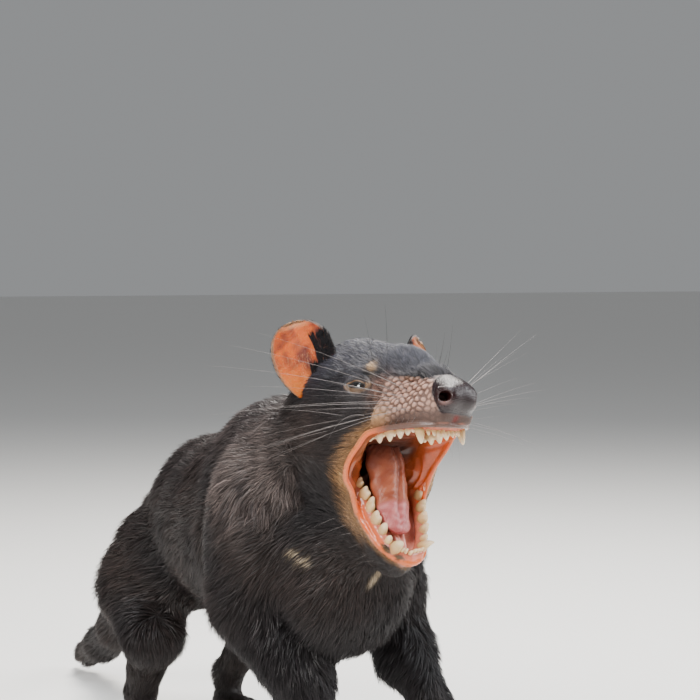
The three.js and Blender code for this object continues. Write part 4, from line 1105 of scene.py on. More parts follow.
def lids(s):
    """Closed ring round the slit of an eye. The slit is a pointed oval on the eyeball; from its edge a
    section climbs over the rounded edge of the lid, dips into a crease and rises to a fold, sinks under the
    skin and comes back behind. Height above the eyeball, by distance d from the edge, is a sum of soft bumps."""
    centre, axes = EYES[s]
    f = turn_steps(80)
    top = ease(-s * np.sin(f), -0.15, 0.15)
    open_by = SLIT_DOWN + (SLIT_UP - SLIT_DOWN) * top
    slit = np.stack([SLIT_HALF * np.cos(f), open_by * np.sin(f) * np.abs(np.sin(f))], 1)
    brim = np.stack([LID_LONG * np.cos(f), LID_HIGH * np.sin(f)], 1)
    u = LID_STEPS[:, None]
    flat = slit + (brim - slit) * u[:, None]
    d = size_of(flat - slit)
    off = size_of(flat)
    ball_height = np.sqrt(np.maximum(EYE_RADIUS ** 2 - off ** 2, 4.0))
    start = centre + (flat.reshape(-1, 2) @ axes[:2]) + axes[2] * 5
    depth = coat_depth(head(start), start) - 0.1
    skin_height = (surface_from(start, axes[2], depth) - centre) @ axes[2]
    height = mix(ball_height, skin_height.reshape(off.shape), ease(off, 4.0, 7.5))
    upper = 1.15 * (1 - np.exp(-d / 0.45)) - 0.95 * hump(d, 2.7, 0.55) + 0.7 * hump(d, 4.3, 1.1)
    below = 0.75 * (1 - np.exp(-d / 0.4)) - 0.55 * hump(d, 2.3, 0.5) + 0.35 * hump(d, 3.5, 0.9)
    rise = (upper * top + below * (1 - top)) * lower(d, 4.5, 3.0)
    height = height + rise + 0.08 - 1.4 * ease(u, 0.8, 1.0)
    front = np.concatenate([flat, height[..., None]], 2)
    back = np.concatenate([flat, (height - 1.0 - 0.8 * ease(u, 0.1, 0.5))[..., None]], 2)[::-1]
    section = np.concatenate([front, back])
    pts, faces = lofted(section @ axes + centre, closed=True)
    rows = np.concatenate([d, d[::-1]]).ravel()
    over = np.tile(top, 2 * len(LID_STEPS))
    tone = tint(np.tile([0.125, 0.072, 0.040], (len(pts), 1)), (0.135, 0.066, 0.026), over)
    tone = tint(tone, (0.006, 0.005, 0.005), lower(rows, 0.55, 0.6))
    # Painted shade in the crease of the upper lid
    tone = tint(tone, BLACK, over * hump(rows, 2.75, 0.8))
    tone = tint(tone, coat_tone(head(pts), pts), ease(rows, 2.2, 3.2) * (0.25 + 0.75 * over) + ease(rows, 3.4, 4.6))
    along, across = np.concatenate([flat, flat[::-1]]).reshape(-1, 2).T
    streak = hump(-s * across - 0.18 * (along - 6), 0, 1.5) * ease(along, 6.2, 7.6)
    tone = tint(tone, (0.20, 0.115, 0.060), 0.85 * streak)
    return pts, outward(pts, faces), tone


for s, side in SIDES:
    centre, axes = EYES[s]
    pts, faces = lofted(sphere_rings(40, 48) * EYE_RADIUS @ axes + centre)
    off = size_of((unit(pts - centre) @ axes.T)[:, :2])
    tone = tint(np.tile([0.020, 0.012, 0.009], (len(pts), 1)), (0.003, 0.003, 0.003), lower(off, 0.46, 0.06))
    make("eyeball_" + side, head(pts), outward(pts, faces), EYE, "eye", ["eye_" + side], Tone=tone)
    pts, faces, tone = lids(s)
    flat = np.zeros(len(pts))
    make("lids_" + side, head(pts), faces, HIDE, "eyelid", ["eyelids_" + side], Tone=tone, Grain=flat + 0.15,
         Pebbles=flat, Wet=flat + 0.35)


# Places along a whole row of teeth
ROW_POINTS = 400
# Teeth of one side: place along the half row, height, half length, half width, lean outward, cusps
UPPER_TEETH = [
    (0.03, 5.0, 1.75, 1.2, 0.6, 1), (0.08, 5.4, 1.75, 1.2, 0.6, 1), (0.13, 5.0, 1.7, 1.2, 0.6, 1),
    (0.18, 4.6, 1.7, 1.2, 0.6, 1), (0.263, 10.2, 3.8, 3.0, 1.0, 1), (0.345, 2.8, 2.2, 1.6, 0.2, 1),
    (0.42, 4.2, 3.1, 2.0, 0.2, 1), (0.53, 4.6, 4.8, 2.6, 0.2, 3), (0.675, 5.4, 6.0, 3.1, 0.2, 3),
    (0.82, 5.4, 5.8, 3.1, 0.2, 3), (0.945, 4.2, 3.6, 2.5, 0.2, 2),
]
LOWER_TEETH = [
    (0.03, 4.4, 1.6, 1.4, 1.2, 1), (0.075, 4.6, 1.6, 1.4, 1.2, 1), (0.115, 4.4, 1.6, 1.4, 1.2, 1),
    (0.175, 10.6, 4.1, 3.6, 4.6, 1), (0.27, 5.2, 2.9, 2.5, 0.4, 1), (0.38, 7.0, 3.6, 2.9, 0.4, 1),
    (0.51, 7.6, 4.8, 3.2, 0.4, 2), (0.65, 8.0, 5.0, 3.3, 0.4, 2), (0.79, 7.8, 4.9, 3.3, 0.4, 2),
    (0.91, 6.4, 3.8, 2.8, 0.4, 2),
]


def tooth(base, up, along, away, sizes, sharp):
    """Closed oval crown. Its width at height t is (1 - t^sharp)^(1/1.6) of the root's, it leans outward as
    t^2, and its top rises and falls as a cosine along its length, once for each cusp."""
    height, long, wide, lean, cusps = sizes
    t = np.array([-0.35, -0.12, 0.04, 0.16, 0.3, 0.45, 0.6, 0.74, 0.86, 0.94, 0.985, 1.0])
    f = turn_steps(20)
    climb = np.clip(t, 0, 1)
    w = np.where(t < 0.04, 0.84 + 0.16 * (t + 0.35) / 0.39, 1.0) * (1 - climb ** sharp) ** (1 / 1.6) + 0.03
    across = unit(np.cross(along, up))
    x, y = w[:, None] * np.cos(f), w[:, None] * np.sin(f)
    cusp = 0.0 if cusps == 1 else np.cos(math.pi * (cusps - 1) * (x + 0.12 * y)) * (-1) ** (cusps - 1)
    z = height * t[:, None] + 0.27 * height * cusp * (climb ** 1.3)[:, None]
    lean = (lean * climb ** 2)[:, None, None]
    return lofted(base + up * z[..., None] + along * (long * x)[..., None] + across * (wide * y)[..., None]
                  + away * lean)


def teeth(name, gum, rows, is_lower):
    """One jaw's row of teeth, each turned and sized a little at random."""
    path, last = ridge(gum, ROW_POINTS, is_lower), ROW_POINTS - 1
    up = jaw((0, 0, 1)) if is_lower else np.array([0, 0, -1.0])
    middle_of_row = np.array([60, 0, gum[0, 2]])
    rng = np.random.default_rng(5 + is_lower)
    parts, tones = [], []
    for place, height, long, wide, lean, cusps in rows:
        for s in PAIR:
            i = int(round((0.5 - s * place / 2) * last))
            along = unit(path[min(i + 2, last)] - path[max(i - 2, 0)]) * s
            away = unit(path[i] - (jaw(middle_of_row) if is_lower else middle_of_row))
            turned = unit(along + 0.16 * rng.normal() * away + 0.10 * rng.normal() * up)
            base = path[i] + up * 1.4 + away * rng.normal(0, 0.25)
            canine = height > 9.5 and cusps == 1
            sharp = 1.6 if canine else (3.0 if cusps > 2 else 1.9 if is_lower else 2.4)
            sizes = (height * rng.uniform(0.92, 1.04) + 1.2, long * rng.uniform(0.9, 1.0), wide, lean, cusps)
            pts, faces = tooth(base, unit(up + 0.06 * rng.normal() * along), turned, away, sizes, sharp)
            rise = ((pts - base) @ up) / height
            stain = rng.uniform(0.85, 1.05)
            tone = np.tile(np.array([0.70, 0.46, 0.21]) * stain, (len(pts), 1))
            tone = tint(tone, (0.84, 0.66, 0.42), ease(rise, 0.45, 1.0))
            tone = tint(tone, (0.42, 0.15, 0.04), 0.8 * lower(rise, -0.02, 0.42) * (0.7 if is_lower else 1.0))
            parts.append((pts, faces))
            tones.append(tone)
    pts, faces = gather(parts)
    make(name + "_row", mouth(pts), faces, ENAMEL, "teeth", [name], Tone=np.concatenate(tones))


teeth("upper_teeth", UPPER_GUM, UPPER_TEETH, False)
teeth("lower_teeth", LOWER_GUM, LOWER_TEETH, True)

# Tongue: oval rings along the lower jaw. A groove wanders along its back, and it drops by a step where
# its rough rear part ends.
TONGUE_SHIFT, TONGUE_STEP = -3.2, 53.0
TONGUE = np.array([
    # along the jaw, height, half width, half thickness
    (14, 21, 13, 7), (22, 18, 14.5, 8), (31, 14, 14, 8), (42, 9.5, 13.5, 7.5), (54, 5.5, 12, 6.5),
    (62, 3.6, 10.5, 5), (68, 2.9, 8.5, 3.8), (71, 2.7, 5.5, 2.4), (72, 2.7, 2.0, 1.0),
], float)
rows = smooth_path(TONGUE, 110)
f = turn_steps(64)
x = rows[:, :1] + 0 * f
y = rows[:, 2:3] * np.cos(f) * (1 + 0.04 * np.sin(x * 0.45 + np.cos(f) * 3))
top = ease(np.sin(f), -0.1, 0.5) + 0 * x
line = np.interp(x, [14, 29, 46, 60, 72], [4.0, 7.0, 2.5, 0.5, 0.0])
deep = 2.0 * ease(x, 12, 20) * ease(-x, -72, -52) * hump(y, line, 1.5)
swell = 0.9 * hump(y - line, 4.2, 3.0) + 0.7 * hump(y - line, -4.6, 3.4)
step = 1.1 * ease(-x, -TONGUE_STEP, 1.4 - TONGUE_STEP)
rough = 0.16 * ripple(np.stack([x, y, 0 * x], -1).reshape(-1, 3), 3.2, 93).reshape(x.shape)
z = rows[:, 1:2] + rows[:, 3:4] * np.sin(f) + top * (step + swell * ease(-x, -66, -50) - deep + rough - 0.6)
pts, faces = lofted(np.stack([x, y + TONGUE_SHIFT, z], -1))
off = np.append((y - line).ravel(), [0, 0])
front = ease(pts[:, 0], TONGUE_STEP - 2.5, TONGUE_STEP + 1.5)
tone = tint(np.tile([0.25, 0.056, 0.024], (len(pts), 1)), (0.36, 0.100, 0.047), 0.5 + 0.5 * ripple(pts, 10, 94))
tone = tint(tone, (0.40, 0.082, 0.082), front)
tone = tint(tone, (0.55, 0.19, 0.185), front * (0.5 + 0.5 * ripple(pts, 7, 95)) * 0.8)
# Painted shade along the groove of the tongue's back
tone = tint(tone, (0.26, 0.055, 0.030), 0.75 * hump(off, 0, 0.9) * ease(-pts[:, 0], -60, -50))
# Painted shade: the tongue's root goes dark where it runs back into the throat
tone = tint(tone, (0.09, 0.022, 0.014), ease(-pts[:, 0], -38, -15))
make("tongue_body", mouth(jaw(pts)), outward(pts, faces), TONGUE_SKIN, "mouth", ["tongue"], Tone=tone)


# Ears: thin rounded cups
EAR_HEIGHT, EAR_HALF_WIDTH, EAR_THICK = 52.0, 21.0, 1.5


def ear_axes(s):
    """Directions up an ear and out of its hollow side."""
    up = unit(np.array([-0.16, s * 0.24, 0.95]))
    look = np.array([0.82, s * 0.55, 0.1])
    return up, unit(look - up * (up @ look))


def past_fold(s, u, v, at, slant):
    """How far a point lies to one side of a slanting fold of the hollow side."""
    return u * s + at - slant * (v - 0.45)


def ear_point(s, u, v, depth):
    """Point at height v and width u of an ear, in the head's frame: half width times u sideways, curling
    forward as u^2, with a slanting fold down the middle of the hollow side."""
    up, front = ear_axes(s)
    wide = np.cross(up, front)
    below = 1 - 0.45 * (np.clip(0.52 - v, 0, 1) / 0.52) ** 2
    half = EAR_HALF_WIDTH * below * np.maximum(0.0012, 1 - (np.clip(v - 0.52, 0, 1) / 0.5) ** 2.4) ** 0.5
    fold = 1.8 * hump(past_fold(s, u, v, 0.12, 0.55), 0, 0.15) * np.sin(math.pi * np.clip(v * 1.25, 0, 1))
    dip = 1.1 * hump(past_fold(s, u, v, 0.42, 0.5), 0, 0.12) * np.sin(math.pi * np.clip(v * 1.35, 0, 1))
    thin = depth * np.sqrt(np.maximum(0.03, 1 - u ** 6)) * np.sqrt(np.maximum(0.03, 1 - np.clip(v, 0, 1) ** 10))
    ahead = 9 * (1 - v * 0.75) * u * u - 5 * (1 - v) + thin + (fold - dip) * (depth > 0)
    ahead = ahead + 0.5 * np.sin(5 * v + 3 * u) * ease(np.abs(u), 0.6, 1)
    root = np.array([-2, s * 39.5, 38.5 + 1.5 * s])
    return root + up * (EAR_HEIGHT * v)[..., None] + wide * (half * u)[..., None] + front * ahead[..., None]


def ear_tone(s, u, v, back, p):
    """Orange hollow side, lighter low down, mottled dark red along the fold, and dark skin behind."""
    tone = np.tile([0.56, 0.094, 0.0005], (len(u), 1))
    mottle = 0.6 * ripple(p, 8, 21) + 0.6 * ripple(p, 20, 22)
    tone = tint(tone, (0.13, 0.011, 0.0005), 0.26 + 0.46 * mottle)
    line = hump(past_fold(s, u, v, 0.12, 0.55), 0, 0.17) * ease(v, 0.05, 0.3) * ease(-v, -0.85, -0.5)
    tone = tint(tone, (0.08, 0.010, 0.005), 0.85 * line)
    tone = tint(tone, (0.72, 0.17, 0.006), 0.65 * lower(v, 0.16, 0.3) * lower(u * -s, 0.0, 0.3))
    front = u * -s + 0.55 * np.clip(0.62 - v, 0, 1)
    tone = tint(tone, (0.025, 0.016, 0.014), 0.94 * ease(front, 0.36, 0.60) * ease(-v, -0.90, -0.62))
    tone = tint(tone, (0.90, 0.48, 0.26), 0.45 * ease(np.maximum(np.abs(u), v), 0.90, 0.99))
    rear = tint(np.tile([0.055, 0.034, 0.030], (len(u), 1)), (0.42, 0.13, 0.07), 0.7 * ease(v, 0.55, 1))
    return np.where(back[:, None], rear, tone)


def ear_mesh(s):
    """Both sides of an ear's sheet and the edge between them."""
    rows, across = 46, 40
    v = (1.018 * np.sin(np.linspace(0, math.pi / 2, rows + 1)) ** 0.9)[:, None] + np.zeros(across + 1)
    u = np.sin(np.linspace(-1, 1, across + 1) * math.pi / 2 * 0.98) / math.sin(math.pi / 2 * 0.98) + 0 * v
    pts = np.concatenate([ear_point(s, u, v, side * EAR_THICK / 2).reshape(-1, 3) for side in PAIR])
    n, m = u.shape
    at = np.arange(n * m).reshape(n, m)
    face = np.stack([at[:-1, :-1], at[:-1, 1:], at[1:, 1:], at[1:, :-1]], -1).reshape(-1, 4)
    rim = np.concatenate([at[0, :-1], at[:-1, -1], at[-1, :0:-1], at[:0:-1, 0]])
    after = np.roll(rim, -1)
    edge = np.stack([after, rim, rim + n * m, after + n * m], 1)
    back = np.arange(2 * n * m) >= n * m
    tone = ear_tone(s, np.tile(u.ravel(), 2), np.tile(v.ravel(), 2), back, pts)
    return pts, outward(pts, [np.concatenate([face, face[:, ::-1] + n * m, edge])]), tone


for s, side in SIDES:
    pts, faces, tone = ear_mesh(s)
    make("ear_cup_" + side, head(pts), faces, EAR_SKIN, "ear", ["ear_" + side], Tone=tone)


# Claws: curved cones on the toe tips
CLAW_START, CLAW_LENGTH = 0.5, 15.3
UP = np.array([0, 0, 1.0])
for leg in LEGS:
    paw = ("hindpaw_" if leg.hind else "forepaw_") + ("left" if leg.side > 0 else "right")
    for number, (root, tip, _) in enumerate(toes(leg), 1):
        root, tip = np.array(root, float), np.array(tip, float)
        flat = unit((tip - root) * [1, 1, 0])
        x = np.linspace(CLAW_START, CLAW_START + CLAW_LENGTH, 14)
        t = (x - CLAW_START) / CLAW_LENGTH
        radius = 2.25 * (1 - t ** 2.2) + 0.22
        drop = 1.1 - 4.0 * t ** 1.6
        f = turn_steps(12)
        across = np.array([-flat[1], flat[0], 0])
        centre = tip + flat * x[:, None] + UP * drop[:, None]
        rings = (centre[:, None] + across * (0.72 * radius[:, None] * np.cos(f))[..., None]
                 + UP * (radius[:, None] * np.sin(f))[..., None])
        pts, faces = lofted(rings)
        paler = ease(pts @ flat - tip @ flat, 4, 15)
        tone = tint(np.tile([0.10, 0.07, 0.05], (len(pts), 1)), (0.34, 0.26, 0.18), paler)
        make(f"nail_{paw}_{number}", on_foot(leg, pts), outward(pts, faces), HORN, "claw",
             [f"claw_{paw}_{number}"], Tone=tone)


# The coat: thin bent blades over the skin
def lie(p, n, h):
    """Way the hair lies at a point of the skin: back from the nose over the head, back and down over
    the body, down the legs and along the tail, with soft drifts."""
    side = np.abs(p[:, 1:2]) / 60
    way = np.concatenate([np.full((len(p), 1), -1.0), 0 * side, -0.15 - 0.55 * side], 1)
    drop = (ease(-p[:, 2], -215, -120) * ease(p[:, 0], -70, 30))[:, None]
    way = mix(way, np.array([-0.35, 0, -1.0]), drop)
    neck = (ease(h[:, 0], -90, -30))[:, None]
    way = mix(way, np.array([-0.75, 0, -0.75]), neck)
    from_nose = unit(h - np.array([112.0, 0, 10]))
    from_chin = unit(h - jaw((98, 0, 2)))
    under = ease(np.degrees(np.arctan2(-h[:, 2], h[:, 0] + 20)), 10, 34)[:, None]
    on_head = ease(h[:, 0], -30, 12)[:, None] * ease(p[:, 2], 140, 190)[:, None]
    facial = mix(from_nose, from_chin, under) @ HEAD.T
    way = mix(way, facial, on_head)
    leg = (ease(-p[:, 2], -125, -90) * ease(p[:, 0], -262, -246))[:, None]
    way = mix(way, np.array([-0.22, 0, -1.0]), leg)
    paw = ease(-p[:, 2], -26, -14)[:, None] * leg
    way = mix(way, np.array([1.0, 0, -0.5]), paw)
    tangent = np.gradient(TAIL[:, :3], axis=0)
    along = np.stack([np.interp(-p[:, 0], -TAIL[:, 0], tangent[:, k]) for k in range(3)], 1)
    tail = ease(-p[:, 0], 255, 285)[:, None]
    way = mix(way, unit(along), tail)
    drift = np.stack([ripple(p, 60, 31 + k) for k in range(3)], 1)
    swirl = np.stack([ripple(p, 16, 41 + k) for k in range(3)], 1)
    loose = coat_looseness(p, h)[:, None]
    way = unit(way) + loose * (0.30 * drift + 0.16 * swirl)
    return unit(way - n * (way * n).sum(1)[:, None])


def coat_looseness(p, h):
    """How much the coat drifts and stands: most on the neck and shoulders, least on the face and paws."""
    loose = 0.75 + 0.6 * bell(p, (50, 0, 235), (60, 120, 70))
    loose = loose * (1 - 0.72 * ease(h[:, 0], -20, 20))
    return loose * (0.4 + 0.6 * ease(p[:, 2], 20, 120))


def coat_length(p, h):
    """Length of the hair in millimetres."""
    length = 18.0 + 1.5 * ripple(p, 50, 51)
    length = length - 4.0 * ease(-p[:, 2], -150, -110)
    low = ease(-p[:, 2], -110, -40) * ease(p[:, 0], -270, -250)
    length = mix(length, 8.0, low)
    paw = ease(-p[:, 2], -36, -20) * ease(p[:, 0], -290, -270)
    length = mix(length, 4.0, paw)
    on_head = ease(h[:, 0], -35, 8)
    length = mix(length, 9.5, on_head)
    face = ease(h[:, 0], 26, 52)
    length = mix(length, 5.6, face)
    jaws = ease(to_jaw(h)[:, 0], 20, 60) * on_head * ease(-h[:, 2], 0, 15)
    length = mix(length, 5.0, jaws)
    length = length + 4.5 * bell(h, (86, 0, 36), (14, 16, 8))
    by_lip = lower(mouth_fields(to_mouth(h))[1], 2, 10) * on_head
    length = mix(length, 3.2, by_lip)
    for s in PAIR:
        length = mix(length, 2.8, 1 - ease(size_of(h - EYES[s][0]), 9, 24))
    return length


# All the skin, for the roots of the coat
points = np.concatenate([head_points, body_points])
normals = np.concatenate([head_normals, body_normals])
quads = np.concatenate([head_quads, body_quads + len(head_points)])


def scatter(mask, count, rng):
    """Random points on the chosen quads, by area: positions, normals."""
    index = np.nonzero(mask)[0]
    q = quads[index]
    a, b, c, d = (points[q[:, k]] for k in range(4))
    area = size_of(np.cross(c - a, d - b)) / 2
    pick = rng.choice(len(index), count, p=area / area.sum())
    u, w = rng.random((2, count, 1))
    q = q[pick]
    mixes = [(1 - u) * (1 - w), u * (1 - w), u * w, (1 - u) * w]
    at = sum(m * points[q[:, k]] for k, m in enumerate(mixes))
    n = unit(sum(m * normals[q[:, k]] for k, m in enumerate(mixes)))
    return at, n


# Size of a clump of hair in millimetres, how far its tips are drawn together, and weights that give
# each cell of a grid its own number
CLUMP_SIZE, CLUMP_PULL = 4.5, 0.28
CELL_CODE = np.array([1, 4001, 16008001])


def clumped(root, tip):
    """Tips drawn toward the mean tip of their neighbours in an irregular cell."""
    warped = root + 0.35 * CLUMP_SIZE * np.stack([ripple(root, 2.2 * CLUMP_SIZE, 61 + k) for k in range(3)], 1)
    cell = np.floor((warped @ spin("x", 27) @ spin("z", 38)) / CLUMP_SIZE).astype(np.int64)
    key = np.unique(cell @ CELL_CODE, return_inverse=True)[1]
    count = np.bincount(key).astype(float)
    mean = np.stack([np.bincount(key, tip[:, k]) / count for k in range(3)], 1)[key]
    return tip + (mean - tip) * CLUMP_PULL


# Rows of points along a blade, and what they come to
LEVELS = 3
BLADE_POINTS, BLADE_TRIANGLES = 2 * LEVELS - 1, 2 * LEVELS - 3
MOST_TRIANGLES = 198000
# Size of a blade's patch on the map OFBake
PATCH_WIDE, PATCH_LONG = 0.0022, 0.003


def blades(name, root, n, way, length, width, lift, tone, chart, seed, grizzle=0.0):
    """One joined mesh of tapering blades. A blade's middle line goes from the root along the lie and a
    little up, bending back to the skin, and its width falls to a point. Each blade is a small patch on
    the map OFBake, at its root's place on an unwrap of the skin."""
    rng = np.random.default_rng(seed)
    count = len(root)
    side = np.cross(n, way)
    t = np.linspace(0, 1, LEVELS)
    stretch = length * rng.uniform(0.75, 1.15, count)
    rise = np.tan(np.radians(lift * rng.uniform(0.6, 1.4, count)))
    sway = rng.normal(0, 0.10, count)
    tip = (way + n * (rise * 0.55)[:, None] + side * sway[:, None]) * stretch[:, None] + root
    tip = clumped(root, tip)
    run = tip - root
    bulge = n * (rise * stretch * 0.42)[:, None] + side * (rng.normal(0, 0.05, count) * stretch)[:, None]
    centre = root[:, None] + run[:, None] * t[:, None] + bulge[:, None] * (t * (1 - t) * 2)[:, None]
    centre -= (n * 0.4)[:, None] * (1 - t)[:, None]
    roll = rng.uniform(-0.9, 0.9, count)[:, None]
    flat = unit(side * np.cos(roll) + n * np.sin(roll))
    w = (width * rng.uniform(0.7, 1.25, count))[:, None] * (1 - t[:-1] ** 1.5) * 0.5
    pts = np.empty((count, BLADE_POINTS, 3))
    pts[:, :-1:2] = centre[:, :-1] - flat[:, None] * w[..., None]
    pts[:, 1:-1:2] = centre[:, :-1] + flat[:, None] * w[..., None]
    pts[:, -1] = centre[:, -1]
    base = (np.arange(count) * BLADE_POINTS)[:, None]
    quad = np.concatenate([base + np.array([0, 1, 3, 2]) + 2 * k for k in range(LEVELS - 2)])
    tips = base + BLADE_POINTS + np.array([-3, -2, -1])
    row = np.repeat(t, 2)[:BLADE_POINTS]
    strength = rng.uniform(0.6, 1.5, count) * np.where(rng.random(count) < grizzle, 2.4, 1.0)
    strength = strength[:, None] * (0.40 + 0.95 * row)
    colour = (tone[:, None] * strength[..., None]).reshape(-1, 3)
    marked = chest_mark(pts.reshape(-1, 3)) * rng.uniform(0.2, 1.2, count).repeat(BLADE_POINTS)
    colour = tint(colour, CREAM * 0.75, marked)
    obj = make(name, pts.reshape(-1, 3), [quad, tips], FUR, "coat", Tone=np.clip(colour, 0, 1))
    corner = np.zeros((BLADE_POINTS, 2))
    corner[:-1, 0] = np.where(np.arange(BLADE_POINTS - 1) % 2, PATCH_WIDE / 2, -PATCH_WIDE / 2)
    corner[:, 1] = row * PATCH_LONG - PATCH_LONG / 2
    uv = (np.clip(chart, 0.004, 0.996)[:, None] + corner).reshape(-1, 2)
    index = np.concatenate([quad.ravel(), tips.ravel()])
    layer = obj.data.uv_layers.new(name="OFBake")
    layer.data.foreach_set("uv", uv[index].astype(np.float32).ravel())


def rolled(p, axis_point, ahead, up, low, high):
    """Unwrap round an axis: angle round it and distance along it, both from 0 to 1."""
    ahead, up = unit(ahead), unit(up)
    side = np.cross(ahead, up)
    q = p - axis_point
    around = np.arctan2(q @ side, q @ up) / FULL_TURN + 0.5
    return np.stack([around, np.clip((q @ ahead - low) / (high - low), 0, 1)], 1)


# Where the coat grows, and its regions, by the middles of the skin's quads
centres = points[quads].mean(1)
HC = to_head(centres)
of_head = np.arange(len(quads)) < len(head_quads)
hairy = centres[:, 2] > 2.0
hairy &= np.where(of_head, ahead_of_seam(centres) > 1.2, ahead_of_seam(centres) < 2.2)
bald = np.zeros(len(head_quads), bool)
for mask in (FACE.mouth, FACE.rim, FACE.nose):
    bald |= middle(mask) > 0.3
bald |= kinds != 0
HQ = HC[:len(head_quads)]
for s in PAIR:
    bald |= size_of((HQ - EYES[s][0]) @ EYES[s][1].T / [1.3, 1.0, 1.0]) < 8.3
bald |= (HQ[:, 0] > 56 + 0.3 * (HQ[:, 2] - 15)) & (HQ[:, 2] > -6) & (HQ[:, 2] < 36 - 0.22 * (HQ[:, 0] - 77))
bald |= (HQ[:, 0] > 93) & (HQ[:, 2] > -6)
hairy[:len(head_quads)] &= ~bald
x, y, z = centres.T
SHOULDERS_END, RUMP_START, TAIL_START, LEG_TOP, LEGS_PARTED = -40, -150, -262, 100, -60
is_head = (HC[:, 0] > -14) & (z > 170) & of_head
is_tail = (x < TAIL_START) & (np.abs(y) < 34) & ~((z < 60) & (x > -300) & (y > 20))
is_leg = (z < LEG_TOP) & ~is_tail
is_neck = ~is_head & ~is_leg & (HC[:, 0] > -62) & (z > 150)
trunk = ~(is_head | is_tail | is_leg | is_neck)
upper = HC[:, 2] > 5
left = y > 0
LENGTHWISE = ((1, 0, 0), (0, 0, 1))
BY_HEAD = (HEAD[:, 0], HEAD[:, 2])
REGIONS = [
    # name, faces, blades per square millimetre, width, lift in degrees, unwrap axis
    ("coat_crown", is_head & upper, 5.0, 0.30, 25, (head((0, 0, 20)), *BY_HEAD, -30, 100)),
    ("coat_cheeks", is_head & ~upper, 4.2, 0.32, 24, (head((0, 0, -20)), *BY_HEAD, -30, 80)),
    ("coat_neck_left", is_neck & left, 2.4, 0.50, 27, ((60, 3, 240), *BY_HEAD, -70, 60)),
    ("coat_neck_right", is_neck & ~left, 2.4, 0.50, 27, ((60, 3, 240), *BY_HEAD, -70, 60)),
    ("coat_shoulder_left", trunk & (x > SHOULDERS_END) & left, 1.6, 0.56, 25, ((0, 0, 190), *LENGTHWISE, -50, 120)),
    ("coat_shoulder_right", trunk & (x > SHOULDERS_END) & ~left, 1.6, 0.56, 25, ((0, 0, 190), *LENGTHWISE, -50, 120)),
    ("coat_middle", trunk & (x <= SHOULDERS_END) & (x > RUMP_START), 1.05, 0.67, 24, ((0, 0, 185), *LENGTHWISE, -152, -38)),
    ("coat_rump", trunk & (x <= RUMP_START), 1.02, 0.68, 24, ((0, 0, 155), *LENGTHWISE, -290, -148)),
    ("coat_tail", is_tail, 1.15, 0.64, 24, ((-262, 0, 163), (-0.84, 0, -0.54), (-0.54, 0, 0.84), 0, 300)),
    ("coat_legs_front", is_leg & (x > LEGS_PARTED), 1.65, 0.47, 18, None),
    ("coat_legs_rear", is_leg & (x <= LEGS_PARTED), 1.42, 0.48, 18, None),
]


LEG_CHART_TOP = 102


def leg_chart(p):
    """Four tiles, one for each leg: angle round the leg and height."""
    chart = np.zeros((len(p), 2))
    place = np.array([leg.place for leg in LEGS], float)
    nearest = np.argmin([size_of((p[:, :2] - at) * [0.5, 1]) for at in place], 0)
    for k, leg in enumerate(LEGS):
        mine = nearest == k
        lift = np.clip(p[mine, 2] / 40, 0, 1)[:, None]
        centre = mix(np.array(leg.place), np.array(leg.ankle[:2]), lift)
        q = p[mine, :2] - centre
        around = np.arctan2(q[:, 1], q[:, 0]) / FULL_TURN + 0.5
        tile = np.array([(k % 2) * 0.5, (k // 2) * 0.5])
        high = np.clip(p[mine, 2] / LEG_CHART_TOP, 0.01, 0.99)
        chart[mine] = tile + 0.5 * np.stack([around * 0.98 + 0.01, high], 1)
    return chart


def grow(name, root, n, width, lift, chart, seed):
    """One region of the coat on given roots."""
    h = to_head(root)
    length = coat_length(root, h)
    wide = width * BLADE_WIDENING * np.clip(length / 9, 0.6, 1.1)
    loose = 0.7 + 0.5 * coat_looseness(root, h)
    stand = 1 + 1.2 * bell(h, (86, 0, 38), (16, 14, 10))
    tone = coat_tone(root, h, marked=False)
    blades(name, root, n, lie(root, n, h), length, wide, lift * loose * stand, tone, chart, seed, grizzle=0.14)


for number, (name, mask, density, width, lift, axis) in enumerate(REGIONS):
    rng = np.random.default_rng(100 + number)
    chosen = mask & hairy
    a, b, c, d = (points[quads[chosen][:, k]] for k in range(4))
    area = size_of(np.cross(c - a, d - b)).sum() / 2
    count = int(min(area * density, MOST_TRIANGLES // BLADE_TRIANGLES) * BLADE_SHARE)
    root, n = scatter(chosen, count, rng)
    grow(name, root, n, width, lift, rolled(root, *axis) if axis else leg_chart(root), 200 + number)


